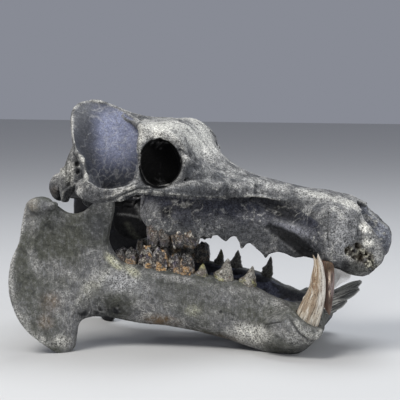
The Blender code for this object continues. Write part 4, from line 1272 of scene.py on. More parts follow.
bone = bone_finish("fossil_bone_worn")
for name, low_x, high_x, nodes in (
    ("braincase_bone", None, BRAINCASE_JOINT_X, ("cranium",)),
    ("face_bone", BRAINCASE_JOINT_X, SNOUT_JOINT_X, ("zygomatic_arch_left", "zygomatic_arch_right")),
    ("muzzle_bone", SNOUT_JOINT_X, None, ("muzzle",)),
):
    piece = split_off(cranium, name, low_x, high_x)
    piece.data.materials.clear()
    piece.data.materials.append(bone)
    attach(piece, "root")
    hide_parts(*nodes)
bpy.data.objects.remove(cranium)


# ------------------------------------------------------------------------------------------ lower jaw
# Two halves grown together at the chin, each a deep bar with a broad rear plate: joint knob and muscle
# hook at the top, and a great flared angle that the jaw stands on. Made as the cranium is, in two halves.
SIDES = (("left", 1), ("right", -1))
JAW_CELL = 0.0016
CHIN_GAP = 0.0003
JAW_ANGLE_HALF_WIDTH = 0.168
RIM_ROUNDING = 0.010
PLATE_FRONT_Y = 0.094
PLATE_LEAN = 0.034


def plate_middle(x, z):
    """How far out the rear plate stands at a place of its outline: it leans out towards the angle."""
    rear = np.clip((-0.135 - x) / 0.150, 0, 1)
    low = np.clip((0.235 - z) / 0.200, 0, 1)
    flare = JAW_ANGLE_HALF_WIDTH - RIM_ROUNDING - PLATE_FRONT_Y - PLATE_LEAN
    return PLATE_FRONT_Y + 0.044 * rear**1.2 + flare * rear * low**1.2 * 1.5 - 0.012 * (1 - rear) * low


def jaw_plate():
    """Rear plate: its outline shrunk towards a middle point in steps, once on each face, with a half
    thickness that grows towards the rim."""
    outline = [
        (-0.266, 0.236), (-0.272, 0.205), (-0.275, 0.176), (-0.284, 0.148), (-0.287, 0.119), (-0.283, 0.090),
        (-0.272, 0.061), (-0.253, 0.032), (-0.231, 0.010), (-0.211, -0.003), (-0.197, 0.004), (-0.193, 0.024),
        (-0.189, 0.044), (-0.174, 0.053), (-0.148, 0.052), (-0.118, 0.052), (-0.104, 0.080), (-0.112, 0.120),
        (-0.136, 0.150), (-0.146, 0.175), (-0.141, 0.201), (-0.137, 0.222), (-0.138, 0.238), (-0.152, 0.241),
        (-0.166, 0.235), (-0.180, 0.222), (-0.196, 0.217), (-0.211, 0.221), (-0.228, 0.234), (-0.248, 0.241),
    ]  # fmt: skip
    turns = len(outline)
    closed = np.vstack([outline[-2:], outline, outline[:2]])
    knots = np.column_stack([np.arange(-2, turns + 2), closed])
    edge = through(knots, np.linspace(0, turns, 240, endpoint=False))
    share = np.concatenate([np.linspace(0.03, 0.86, 22), [0.91, 0.95, 0.98, 1.0]])
    round_off = np.concatenate([np.ones(22), [0.98, 0.92, 0.78, 0.45]])
    share, round_off = (np.concatenate([row, row[::-1]])[:, None] for row in (share, round_off))
    face = np.repeat([-1, 1], 26)[:, None]
    centre = np.array([-0.200, 0.135])
    flat = centre + (edge - centre) * share[:, :, None]
    half = (0.0078 + 0.0040 * share**5) * round_off
    y = plate_middle(flat[..., 0], flat[..., 1]) + face * half
    return closed_shell(np.stack([flat[..., 0], y, flat[..., 1]], axis=2))


def jaw_body():
    """Bar from under the last molar to the chin, the swelling round the tusk, and the joint knob."""
    bar = [
        (-0.172, 0.100, 0.010, 0.100, 0.140, 0.060, 2.2, 2.2),
        (-0.142, 0.086, 0.017, 0.100, 0.142, 0.049, 2.4, 2.2),
        (-0.109, 0.074, 0.022, 0.094, 0.136, 0.041, 3.0, 2.2),
        (-0.060, 0.066, 0.023, 0.084, 0.129, 0.036, 3.0, 2.2),
        (-0.010, 0.061, 0.022, 0.076, 0.121, 0.028, 3.0, 2.2),
        (0.037, 0.058, 0.021, 0.070, 0.114, 0.017, 3.0, 2.4),
        (0.080, 0.056, 0.022, 0.056, 0.104, 0.004, 2.6, 2.6),
        (0.115, 0.056, 0.026, 0.046, 0.086, -0.003, 2.4, 2.8),
        (0.150, 0.058, 0.030, 0.044, 0.078, -0.001, 2.4, 2.6),
        (0.176, 0.060, 0.028, 0.050, 0.074, 0.016, 2.4, 2.4),
        (0.192, 0.058, 0.022, 0.056, 0.072, 0.036, 2.2, 2.2),
    ]
    chin = [
        (0.050, 0, 0.020, 0.046, 0.060, 0.034, 2, 2),
        (0.075, 0, 0.052, 0.042, 0.062, 0.018, 2.4, 2.4),
        (0.115, 0, 0.062, 0.040, 0.064, 0.004, 2.6, 2.6),
        (0.150, 0, 0.066, 0.044, 0.068, 0.004, 2.6, 2.6),
        (0.178, 0, 0.064, 0.052, 0.078, 0.022, 2.6, 2.6),
        (0.192, 0, 0.058, 0.066, 0.086, 0.044, 2.4, 2.4),
        (0.201, 0, 0.046, 0.076, 0.088, 0.062, 2.2, 2.2),
    ]
    socket = [
        (0.104, 0.070, 0.040, 0.022, 0.024),
        (0.128, 0.082, 0.040, 0.029, 0.028),
        (0.150, 0.092, 0.045, 0.032, 0.027),
        (0.166, 0.099, 0.054, 0.031, 0.024),
        (0.172, 0.101, 0.062, 0.026, 0.021),
    ]
    neck = [
        (-0.257, 0.130, 0.180, 0.014, 0.011),
        (-0.253, 0.130, 0.205, 0.017, 0.013),
        (-0.246, 0.130, 0.227, 0.021, 0.016),
    ]
    bump = ball(at_side(53, 205.5, 0.134), (0.007, 0.018, 0.0065))
    lip = [
        (*at_side(293.5, 314, 0.096), 0.0040, 0.0040),
        (*at_side(297.5, 325, 0.108), 0.0050, 0.0050),
        (*at_side(305.5, 333.5, 0.115), 0.0060, 0.0055),
        (*at_side(314, 337, 0.111), 0.0062, 0.0055),
        (*at_side(319.5, 332.5, 0.100), 0.0058, 0.0055),
        (*at_side(319.5, 326.5, 0.088), 0.0050, 0.0050),
    ]
    knob = ball((-0.246, 0.130, 0.231), (0.020, 0.034, 0.0145))
    bars = [loft(bar), mirrored(loft(bar)), loft(chin, along=60)]
    ring = tube(lip, (0, 1, 0), along=60)
    return bars + [tube(socket, (1, 0, -0.3), around=64), ring, knob, bump, tube(neck, (1, 0, 0), along=30)]


CRACK = ((264, 328), (265.5, 324.5), (273, 323), (281, 322))
PLATE_RIM = ((25, 205), (21, 230), (14, 250), (11.5, 268), (11.5, 290), (17, 312), (28, 331), (44, 346))


def wear_jaw(skin):
    """Relief of the jaw: the sunk middle of the plate, its ridges, the cracks and holes, then grain."""
    skin.relax(3)
    # Hollows of the plate and the bar, and low swellings.
    dents = (
        (50, 268, 30, 44, 8, 0.09, 0.0050),
        (92, 246, 26, 40, -12, 0.06, 0.0025),
        (108, 306, 34, 12, -8, 0.05, 0.0045),
        (160, 300, 60, 16, 6, 0.04, 0.0016),
        (240, 300, 40, 14, 10, 0.03, 0.0020),
        (290, 302, 9, 6, 20, 0.04, 0.0050),
        (120, 268, 26, 7, 32, 0.05, -0.0020),
        (60, 316, 12, 26, 6, 0.08, -0.0016),
        (255, 337, 22, 11, 8, 0.03, -0.0016),
    )
    skin.dent(dents)
    # The plate's ridges, the folds at the tusk's socket, and cracks.
    lines = (
        (((70, 330), (75, 308), (85, 294), (99, 283), (116, 275)), 10.0, 0.06, 0.0034),
        (((24, 248), (29, 268), (36, 286), (45, 302)), 3.4, 0.09, 0.0009),
        (((30, 252), (35, 262), (38, 270)), 3.0, 0.09, 0.0008),
        (((34, 215), (35, 235), (33, 250)), 4.0, 0.09, 0.0014),
        (((48, 206), (58, 214), (66, 224), (74, 226)), 3.0, 0.09, 0.0014),
        (((108, 254), (116, 262), (125, 268)), 2.6, 0.05, 0.0016),
        (((132, 268), (137, 274), (138, 280)), 2.4, 0.05, 0.0014),
        (((58, 268), (68, 274), (76, 282)), 3.0, 0.09, 0.0010),
        (((113, 278), (112, 296)), 3.0, 0.05, 0.0008),
        (CRACK, 1.3, 0.05, -0.0020),
        (((272, 292), (277, 300), (283, 308)), 1.8, 0.05, 0.0012),
        (((289, 310), (297, 316)), 1.8, 0.05, 0.0010),
        (((276, 337), (283, 341), (292, 343)), 2.6, 0.05, -0.0012),
        (((280, 333), (288, 337), (298, 341)), 2.8, 0.05, -0.0012),
        (((290, 320), (298, 333), (309, 341.5), (319, 340)), 2.4, 0.06, -0.0017),
        (((221, 312), (227, 313.5), (233, 315)), 2.2, 0.05, -0.0014),
        (((150, 286), (170, 292), (196, 296)), 2.0, 0.05, -0.0006),
    )
    skin.score(lines)
    holes = (
        (220.6, 312.4, 2.2, 0.05),
        (232.5, 320, 1.8, 0.05),
        (205, 303, 1.4, 0.05),
        (207, 296, 1.2, 0.05),
        (271.5, 345, 1.8, 0.05),
        (92, 310, 1.8, 0.05),
        (118, 306, 1.4, 0.05),
        (296, 300, 2.4, 0.05),
        (243, 336, 1.2, 0.04),
        (62, 338, 1.4, 0.1),
        (52, 344, 1.2, 0.1),
    )
    skin.pierce(holes, 0.0026)
    # Where the surface is coarse: the low edges, the rims and the socket of the tusk.
    rough_places = (
        (52, 342, 26, 12, 0.05, 0.8),
        (256, 338, 26, 13, 0.03, 0.7),
        (45, 204, 20, 12, 0.05, 0.6),
        (200, 280, 60, 8, 0.03, 0.6),
        (125, 264, 24, 12, 0.04, 0.5),
        (285, 298, 22, 8, 0.03, 0.9),
        (310, 336, 20, 14, 0.03, 0.5),
        (195, 308, 20, 12, 0.03, 0.4),
    )
    coarse = roughest(skin, rough_places)
    skin.flatten(spot(skin, 40, 212, 22, 10, 0, 0.06) ** 0.5, 60)
    lumps = rubble(skin.points, 0.0062, 3, seed=53)
    fine = rubble(skin.points, 0.0040, 2, seed=59)
    swell = cloud(skin.points, 0.032, seed=61)
    skin.push(0.0008 * swell + 0.00024 * fine + coarse * (0.0009 * lumps - 0.0003))
    skin.push(-0.0010 * ease(0.55, 0.9, cloud(skin.points, 0.0058, seed=67)) * ease(0.0, 0.6, swell))


def paint_jaw(skin):
    """Colour of the jaw: olive slate with chalky streaks, an ochre stain, and pitted white low edges; painted
    shade in the hollows, in the notch, along the bar's low edge, underneath and on the inner face, with
    streaks of painted sky reflection on the inner face.
    """
    points = skin.points
    broad, middle = rubble(points, 0.05, 3, seed=71), rubble(points, 0.010, 3, seed=73)
    streak = rubble(points @ np.diag([0.4, 1.0, 0.8]), 0.009, 3, seed=79)
    tone = paint(np.tile(OLIVE * 0.88, (len(points), 1)), ease(-0.5, 0.9, broad), ASH * 0.80)
    paint(tone, 0.3 * ease(0.0, 0.9, streak), ASH * 1.1)
    paint(tone, 0.28 * ease(0.1, 0.9, -middle), CHARCOAL * 1.8)
    # Broad patches: a pale middle, painted shade in the notch and along the bar's low edge, and ochre stains.
    patches_and_painted_shade = (
        (60, 240, 36, 30, 0, 0.05, OLIVE * 0.72, 0.7),
        (98, 228, 24, 30, 0, 0.05, SLATE * 0.72, 0.8),
        (40, 278, 24, 36, 0, 0.08, OLIVE * 0.82, 0.6),
        (122, 282, 46, 18, 8, 0.05, ASH * 2.2, 0.95),
        (165, 292, 60, 18, 8, 0.05, ASH * 0.90, 0.5),
        (220, 296, 44, 20, 8, 0.05, ASH * 0.9, 0.6),
        (280, 310, 30, 20, 8, 0.05, OLIVE * 1.1, 0.6),
        (103, 312, 52, 13, -4, 0.03, CHARCOAL * 0.3, 1.0),
        (165, 332, 76, 12, 6, 0.03, UMBER * 0.13, 1.0),
        (225, 338, 50, 7, 8, 0.03, UMBER * 0.35, 0.7),
        (52, 303, 17, 15, 20, 0.08, UMBER * 1.2, 0.7),
        (46, 322, 12, 12, 0, 0.08, OCHRE * 0.75, 0.5),
        (161, 320, 26, 8, 8, 0.04, OCHRE * 0.55, 1.0),
        (285, 298, 26, 8, 10, 0.03, SLATE * 0.9, 0.5),
    )
    daub(tone, skin, patches_and_painted_shade, middle)
    # Chalk and cream on the rims, the ridges and the chin.
    chalk_patches = (
        (30, 206, 12, 14, 0, 0.05, OCHRE * [0.9, 1.15, 1.5], 0.45),
        (34, 225, 10, 20, 8, 0.05, CHALK * 0.7, 0.5),
        (34, 262, 8, 24, -18, 0.09, CHALK * 0.85, 0.75),
        (58, 270, 22, 18, 30, 0.09, CHALK * 0.55, 0.5),
        (70, 276, 16, 7, 30, 0.09, CHALK * 0.8, 0.6),
        (92, 287, 36, 12, -52, 0.06, CHALK * [0.90, 0.90, 0.80], 0.7),
        (62, 302, 14, 26, 20, 0.08, CHALK * 0.6, 0.5),
        (113, 261, 17, 6, 42, 0.05, CREAM * [1.12, 1.12, 0.88], 1.0),
        (132, 271, 15, 7, 38, 0.05, CREAM * [0.95, 0.95, 0.78], 1.0),
        (178, 279, 44, 5, 9, 0.04, CHALK * 0.9, 0.8),
        (240, 290, 40, 6, 8, 0.04, CHALK * 0.8, 0.6),
        (193, 311, 11, 8, 0, 0.04, CREAM * [0.95, 0.97, 0.78], 0.9),
        (208, 315, 24, 9, 4, 0.04, CHALK * 0.8, 0.6),
        (252, 334, 32, 14, 8, 0.03, CREAM * 1.3, 1.0),
        (296, 334, 30, 14, -10, 0.04, CHALK * 0.95, 0.8),
        (314, 337, 16, 9, -10, 0.04, CREAM * 0.9, 0.8),
        (280, 303, 14, 9, 45, 0.04, CHALK, 0.7),
        (38, 338, 24, 7, 22, 0.08, CREAM * 0.95, 0.95),
        (62, 341, 14, 10, 0, 0.08, CREAM, 0.95),
        (26, 322, 6, 14, -30, 0.08, CREAM * 0.7, 0.6),
        (150, 315, 11, 3.5, 10, 0.04, CREAM * 0.8, 0.5),
    )
    daub(tone, skin, chalk_patches, streak + 0.6 * middle, 0.8, spread=0.8)
    small = rubble(points, 0.0046, 2, seed=101)
    paint(tone, 0.28 * ease(0.1, 0.7, small), ASH * 1.3)
    paint(tone, 0.30 * ease(0.1, 0.7, -small), CHARCOAL * 1.1)
    lines = np.maximum(veins(points, 0.020, 83), veins(points @ np.diag([1.0, 1.0, 0.45]), 0.012, 89))
    paint(tone, 0.36 * lines * ease(-0.5, 0.5, broad + 0.4 * middle), CHALK * 1.05)
    paint(tone, 0.35 * veins(points, 0.015, 97) * ease(0.3, -0.4, broad), CHARCOAL)
    edge = ease(0.00010, 0.0006, skin.spread(skin.bulge(3), 1)) * ease(-0.7, 0.4, middle)
    paint(tone, 0.5 * edge, CHALK)
    # Painted shade in the hollows.
    deep = in_hollows(skin, 0.0005)
    paint(tone, 0.55 * deep, CHARCOAL)
    # The inner face is painted dusky as shade, with streaks of painted sky reflection, and painted black as
    # shade behind the teeth.
    inner = SLATE * [0.50, 0.50, 0.58] * (1 + 0.5 * middle[:, None])
    paint(tone, 0.92 * hidden_side(skin), inner)
    paint(tone, 0.6 * hidden_side(skin) * ease(0.25, 0.7, streak), SKY_REFLECTION_BLUE * 1.1)
    paint(tone, 0.95 * hidden_side(skin) * ease(-0.03, -0.07, points[:, 0]), INK * 1.5)
    for line, wide, colour, share in (
        (((291, 320), (299, 333), (309, 340.5), (317, 341)), 1.6, CHARCOAL, 0.55),
        (((296, 322), (303, 331.5), (313, 336), (320, 331)), 3.0, CREAM * 0.85, 0.6),
        (PLATE_RIM, 3.0, CHALK, 0.7),
        (CRACK, 1.0, INK, 0.6),
    ):
        paint(tone, share * faded(line_mask(skin, line, wide, 0.05) ** 0.5, middle, 0.6), colour)
    # Painted shade on the underside.
    below = ease(0.5, 0.9, -skin.normals[:, 2]) * ease(0.04, 0.06, points[:, 2])
    paint(tone, 0.7 * below, CHARCOAL)
    keep_look(skin, tone, 0.8 * ease(0.75, 0.25, tone.mean(1) / CREAM.mean() + 0.15 * middle))


def tusk_stations(side, grow=0.0):
    """The lower canine as rows of x, y, z, half width and half thickness. The left one stands further
    back than the right, and is slimmer."""
    back = np.array([0.0, 0.003, 0.005, 0.006, 0.007, 0.008, 0.008, 0.008]) * (side == "left")
    slim = 0.82 if side == "left" else 1.0
    rows = [
        (0.1490, 0.086, 0.030, 0.0170, 0.0115),
        (0.1660, 0.094, 0.050, 0.0188, 0.0122),
        (0.1742, 0.099, 0.072, 0.0183, 0.0120),
        (0.1812, 0.103, 0.090, 0.0163, 0.0112),
        (0.1868, 0.106, 0.110, 0.0131, 0.0098),
        (0.1888, 0.109, 0.131, 0.0105, 0.0082),
        (0.1887, 0.111, 0.152, 0.0065, 0.0056),
        (0.1848, 0.112, 0.166, 0.0040, 0.0034),
    ]
    rows = np.array(rows) * [1, 1, 1, slim, slim] + np.outer(back, [-1, 0, 0, 0, 0])
    return rows + [0, 0, 0, grow, grow]


INCISOR_ROOTS = np.array([(0.165, 0.019, 0.066), (0.165, 0.046, 0.061)])
INCISOR_TIPS = {
    "right": np.array([(0.243, 0.018, 0.098), (0.227, 0.050, 0.085)]),
    "left": np.array([(0.243, 0.017, 0.104), (0.228, 0.048, 0.093)]),
}
INCISOR_RADIUS = 0.0085
INCISOR_SAG = 0.003


def incisor_stations(number, side, grow=0.0):
    """A front tooth as rows of x, y, z, half width and half thickness, sagging a little in its middle."""
    root, tip = INCISOR_ROOTS[number], INCISOR_TIPS[side][number]
    t = np.array([0, 0.3, 0.6, 0.85, 1.0])[:, None]
    thick = INCISOR_RADIUS * np.array([0.85, 1.0, 1.05, 0.90, 0.35])[:, None] + grow
    path = root + (tip - root) * t - np.array([0, 0, INCISOR_SAG]) * np.sin(math.pi * t)
    return np.hstack([path, thick, 0.9 * thick])


jaw_half = fused("jaw_half", [jaw_plate()] + jaw_body(), JAW_CELL)
for side, way in SIDES:
    made = jaw_half.copy()
    made.name, made.data = "mandible_bone_" + side, jaw_half.data.copy()
    scene.collection.objects.link(made)
    pegs = [tube(incisor_stations(n, side, 0.0006), (0, 1, 0), around=24) for n in (0, 1)]
    for shells in ([tube(tusk_stations(side, 0.0005), (1, 0, 0), around=48)], pegs):
        carved(made, mesh_object("socket", shells))
    one_skin(made, JAW_CELL)
    skin = Skin(made)
    wear_jaw(skin)
    paint_jaw(skin)
    skin.hold_inside(cad_box)
    bm = bmesh.new()
    bm.from_mesh(made.data)
    cut_at(bm, (0, CHIN_GAP / 2, 0), (0, -1, 0))
    if way < 0:
        bmesh.ops.scale(bm, vec=(1, -1, 1), verts=bm.verts)
        bmesh.ops.reverse_faces(bm, faces=bm.faces)
    bm.to_mesh(made.data)
    bm.free()
    made.data.shade_smooth()
    made.data.materials.clear()
    made.data.materials.append(bone)
    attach(made, "root")
    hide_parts("mandible_" + side)
bpy.data.objects.remove(jaw_half)


# --------------------------------------------------------------------------------------- cheek teeth
# Worn enamel crowns over stained dentine, two lobes to a molar and one leaning point to a premolar, each
# rooted in its own socket. Two molars are left above, and three molars and three premolars below.
ENAMEL_DARK = np.array([0.020, 0.018, 0.018])
TOOTH_BROWN = np.array([0.075, 0.048, 0.032])
TOOTH_GREY = np.array([0.120, 0.110, 0.098])
TOOTH_OCHRE = np.array([0.46, 0.27, 0.10])
TOOTH_CREAM = np.array([0.56, 0.53, 0.45])
TOOTH_VIOLET = np.array([0.090, 0.075, 0.110])
TOOTH_GREEN = np.array([0.24, 0.23, 0.075])
FAR_SIDE_SHADE = np.array([0.075, 0.080, 0.072])


def roughened(rings, size, amount, seed):
    """Rings of points moved by a cloud along the way out from each ring's middle."""
    flat = rings.reshape(-1, 3)
    way = (rings - rings.mean(axis=1, keepdims=True)).reshape(-1, 3)
    way /= np.maximum(np.linalg.norm(way, axis=1), 1e-6)[:, None]
    moved = flat + way * (amount * rubble(flat, size, 2, seed))[:, None]
    return moved.reshape(rings.shape)


def molar(x, y, neck, crown, length, width, seed):
    """Two-lobed crown on a grid of turn by way. The way runs out over the chewing face, then down the
    side. The outline is a boxy oval pinched between the lobes; a valley parts the lobes, a shallow one
    parts the outer cusps from the inner, and the folded side spreads from its rim down to the neck."""
    turn = full_turn(144)[None, :]
    way = np.concatenate([np.linspace(0.06, 1, 26), np.linspace(1.03, 2, 34)])[:, None]
    out, down = np.minimum(way, 1), np.maximum(way - 1, 0)
    u = np.sign(np.cos(turn)) * np.abs(np.cos(turn)) ** 0.66
    v = np.sign(np.sin(turn)) * np.abs(np.sin(turn)) ** 0.66
    cleft = np.exp(-((u / 0.16) ** 2))
    v = v * (1 - (0.15 - 0.08 * down) * cleft)
    swell = 0.86 + 0.18 * np.sin(0.5 * math.pi * np.minimum(1.6 * down, 1)) - 0.10 * down**3
    fold = 1 + 0.045 * np.cos(9 * turn + seed) * np.minimum(way, 1) ** 2 * (1 - 0.5 * down)
    across, along = u * out * swell * fold, v * out * swell * fold
    valley = 0.26 * np.exp(-((across / 0.10) ** 2)) + 0.20 * np.exp(-((along / 0.18) ** 2))
    cusps = 0.11 * np.cos(9.5 * across + 0.4 * np.sin(seed)) * np.cos(5.5 * along + seed)
    height = 0.98 - valley - 0.10 * out**8 + cusps
    rise = (crown - neck) * (height * (1 - down) - 0.45 * down)
    ring = np.stack([x + 0.5 * length * across, y + 0.5 * width * along, neck + rise], axis=2)
    return roughened(ring, 0.0034, 0.0008, seed)


def premolar(x, y, neck, crown, length, width, seed):
    """One leaning point on a grid of turn by height: a long slope behind with a low shoulder, a steep one
    in front, a blunt end, and a swelling at the neck."""
    turn = full_turn(72)[None, :]
    high = np.concatenate([np.linspace(-0.35, 0.85, 34), [0.90, 0.94, 0.97, 0.99, 1.0]])[:, None]
    up = np.clip(high, 0, 1)
    blunt = np.sqrt(np.clip(1 - ((up - 0.82) / 0.18) ** 2 * (up > 0.82), 0, 1))
    behind = (0.05 + 0.53 * (1 - up) ** 1.25 + 0.14 * np.exp(-(((up - 0.34) / 0.10) ** 2)) * (up > 0)) * blunt
    front = (0.05 + 0.28 * (1 - up**1.4)) * blunt
    belly = (1 + 0.09 * np.exp(-(((high - 0.08) / 0.08) ** 2))) * (1 - 0.3 * np.clip(-high, 0, 1))
    c, s = np.cos(turn), np.sin(turn)
    reach = np.where(c > 0, front, behind) * belly
    side = (0.07 + 0.45 * (1 - up**1.1)) * belly * blunt
    fold = 1 + 0.07 * np.cos(4 * turn + seed) * (1 - 0.5 * up)
    ring = np.stack(
        [
            x + (0.08 + (0.05 + 1.8 * x) * high + reach * c * fold) * length,
            y + side * s * fold * width,
            neck + (crown - neck) * high * np.ones_like(turn),
        ],
        axis=2,
    )
    return roughened(ring, 0.0042, 0.0009, seed)


def grown(name, rings):
    """A piece from rings of points, closed at both ends."""
    made = mesh_object(name, [closed_shell(rings)])
    made.data.shade_smooth()
    return made


def tooth_finish(name, contrast):
    """Enamel: the painted tone with fine stains, folds down its side, glossy dark patches and pale flecks
    painted as highlights.
    """
    look = Finish(name)
    where = look.place()
    tone = look.attribute("tone", out="Color")
    stain, fleck = look.noise(where, 380.0, 4.0, 0.65), look.noise(where, 520.0, 3.0, 0.6)
    lines = look.noise(look.place((800.0, 800.0, 120.0)), 1.0, 2.0, 0.5)
    light = 1.0 + contrast * (1.5 * look.between(0.35, 0.65, stain) - 0.75)
    colour = look.mix(1.0, tone, look.grey(light), "MULTIPLY")
    colour = look.mix(look.between(0.54, 0.62, fleck) * 0.65 * contrast, colour, (0.018, 0.014, 0.012))
    # Pale flecks are painted highlights.
    colour = look.mix(look.between(0.42, 0.36, fleck) * 0.45 * contrast, colour, (0.62, 0.60, 0.54))
    height = stain * 0.8 + lines * 0.4 + fleck * 0.3
    rough = 0.22 + 0.36 * stain
    return look.done(colour, rough, look.bump(height, 0.6, 0.0010), Coat_Weight=0.35)


enamel, worn_enamel = tooth_finish("stained_enamel", 1.0), tooth_finish("pale_enamel", 0.8)
# How much further ahead each left premolar stands than the right one, and how much taller it is.
LEFT_SHIFT = {
    "lower_premolar_4": (0.006, 0.006),
    "lower_premolar_3": (-0.003, -0.004),
    "lower_premolar_2": (0.013, -0.001),
}
for kind, shape, x, y, neck, crown, length, width, dark, ochre, cream in (
    ("upper_molar_3", molar, -0.0700, 0.057, 0.1990, 0.1590, 0.040, 0.040, 1.00, 0.06, 0.12),
    ("upper_molar_2", molar, -0.0290, 0.057, 0.1880, 0.1610, 0.044, 0.042, 0.95, 0.16, 0.80),
    ("lower_molar_3", molar, -0.1230, 0.070, 0.1360, 0.1585, 0.037, 0.029, 1.00, 0.50, 0.20),
    ("lower_molar_2", molar, -0.0785, 0.066, 0.1300, 0.1620, 0.048, 0.031, 0.60, 1.00, 0.55),
    ("lower_molar_1", molar, -0.0350, 0.063, 0.1250, 0.1520, 0.040, 0.029, 0.95, 0.65, 0.55),
    ("lower_premolar_4", premolar, -0.0040, 0.061, 0.1140, 0.1370, 0.030, 0.020, 0.45, 0.10, 0.30),
    ("lower_premolar_3", premolar, 0.0320, 0.059, 0.1100, 0.1470, 0.040, 0.021, 0.10, 0.12, 0.95),
    ("lower_premolar_2", premolar, 0.0700, 0.057, 0.1030, 0.1350, 0.034, 0.019, 0.15, 0.20, 0.85),
):
    for side, way in SIDES:
        seed = int(abs(x) * 9000) + way
        shift, taller = LEFT_SHIFT.get(kind, (0.0, 0.0)) if side == "left" else (0.0, 0.0)
        slim = 0.70 if side == "left" and shape is premolar else 1.0
        rings = shape(x + shift, y, neck, crown + taller, slim * length, width, seed)
        tooth = grown(kind + "_" + side, rings * np.array([1, way, 1]))
        skin = Skin(tooth)
        points = skin.points
        high = np.clip((points[:, 2] - neck) / (crown - neck), 0, 1)
        blotch, small = rubble(points, 0.0075, 3, seed + 3), rubble(points, 0.0036, 2, seed + 5)
        tone = paint(np.tile(TOOTH_BROWN, (len(points), 1)), ease(-0.2, 0.7, blotch), TOOTH_GREY)
        if shape is molar:
            patch, lower = cloud(points, 0.0080, seed + 7), 1 - 1.3 * high
            paint(tone, dark * ease(-0.25, 0.15, -lower - 0.4 * blotch), ENAMEL_DARK)
            paint(tone, 0.8 * ease(0.20, 0.55, cloud(points, 0.0060, seed + 9)), TOOTH_VIOLET)
            paint(tone, ochre * ease(0.12, 0.42, patch + 0.25 * small + 0.35 * lower), TOOTH_OCHRE)
            # Cream patches: partly pale enamel, partly painted shine.
            paint(tone, cream * ease(0.30, 0.60, small - 0.35 * patch), TOOTH_CREAM * 1.1)
            paint(tone, 0.9 * ease(0.15, 0.45, -small - 0.2 * patch), ENAMEL_DARK)
        else:
            paint(tone, cream * ease(-0.9, -0.1, small), TOOTH_CREAM * 0.45)
            paint(tone, 0.6 * ease(0.2, -0.2, high + 0.2 * small), TOOTH_BROWN)
            mossy = ease(0.45, 0.1, high + 0.2 * small) * ease(0.0, 0.4, blotch)
            paint(tone, 0.7 * mossy, TOOTH_GREEN)
        if kind.endswith("premolar_4"):
            paint(tone, 0.8 * ease(0.5, 0.9, high), TOOTH_GREEN * 1.3)
        # The far side's teeth are greyed over as painted shade.
        if side == "left":
            paint(tone, np.full(len(points), 0.6), FAR_SIDE_SHADE)
        # Painted shade in the crown's hollows.
        paint(tone, 0.85 * ease(0.0002, 0.0012, -skin.bulge(6)), ENAMEL_DARK)
        skin.keep("tone", tone)
        tooth.data.materials.append(enamel if shape is molar else worn_enamel)
        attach(tooth, "root")


# ------------------------------------------------------------------------------------ tusks, front teeth
# The lower canines are flattened curved blades of ivory, broken off at a notch, and the front teeth lean
# out of the chin as ribbed pegs, all set in sockets. A splinter and a chip of the right canine stand by
# it, and a white flake and a stub are left of the upper front teeth.
def blade(stations, side, notch, ribs, seed, along=120, around=72):
    """Rings along a smooth path, square to it. A ring is an ellipse with a rounded third corner and
    shallow lengthwise ribs, and the end is cut back in the middle of both faces, which leaves a notch.
    Also gives each point's place along and round the tooth, for the grain."""
    table = np.array(stations, float)
    run = run_along(table)
    knots = np.column_stack([run, table])
    turn = full_turn(around)[None, :]
    cut_back = notch * (1 - np.abs(np.cos(turn))) * (1 + 0.25 * np.sin(3 * turn + seed))
    t = np.linspace(0, 1, along)[:, None]
    reach = t * run[-1] - cut_back * ease(0.55, 1.0, t)
    rows = through(knots, reach.ravel()).reshape(along, around, 5)
    path = through(knots, np.linspace(0, run[-1], along))[:, :3]
    across, third = (way[:, None] for way in square_to(path, side))
    shape = 1 + 0.05 * np.cos(3 * turn + 0.6) + ribs * (
        0.5 * np.cos(11 * turn + seed) + 0.5 * np.cos(17 * turn + 2 * seed) * np.cos(3 * t)
    )
    rings = (
        rows[..., :3]
        + across * (np.cos(turn) * shape * rows[..., 3])[..., None]
        + third * (np.sin(turn) * shape * rows[..., 4])[..., None]
    )
    grain = np.stack([np.cos(turn) + 0 * t, np.sin(turn) + 0 * t, t + 0 * turn], axis=2)
    bottom = through(knots, [run[-1] - cut_back.max()])[:, :3]
    rings = np.concatenate([rings, bottom + 0.04 * (rings[-1:] - bottom)])
    return rings, np.concatenate([grain, grain[-1:]])


def ivory_finish(name, ground, streaks, glow, edge_dark, shortness=1.3, streaky=0.6, **fixed):
    """Ivory: a warm ground with brown streaks along the tooth, fine cracks, and dark flecks. The streaks
    are as long as the tooth over `shortness`, and as strong as `streaky`."""
    look = Finish(name)
    grain = look.attribute("grain", out="Vector")
    longways = look.place((1.0, 1.0, shortness), start=grain)
    wide, fine = look.noise(longways, 1.8, 4.0, 0.6), look.noise(longways, 4.5, 4.0, 0.65)
    hair = look.noise(look.place((10.0, 10.0, 5.0 * shortness), start=grain), 1.0, 2.0)
    spots = look.noise(look.place(), 430.0, 3.0, 0.6)
    tone = look.attribute("tone", out="Color")
    colour = look.mix(look.between(0.45, 0.62, wide) * 0.55, tone, tuple(ground))
    colour = look.mix(look.between(0.48, 0.40, fine) * 0.85, colour, tuple(glow))
    colour = look.mix(look.between(0.52, 0.59, fine) * streaky, colour, tuple(streaks))
    colour = look.mix(look.between(0.57, 0.64, hair) * 0.75, colour, tuple(edge_dark))
    flecks = look.between(0.58, 0.64, spots) * look.between(0.40, 0.55, fine) * 0.9
    colour = look.mix(flecks, colour, tuple(edge_dark))
    height = wide * 0.6 + fine * 0.6 + hair * 0.5 + spots * 0.2
    rough = 0.34 + 0.3 * fine
    return look.done(colour, rough, look.bump(height, 0.5, 0.0008), Coat_Weight=0.1, **fixed)


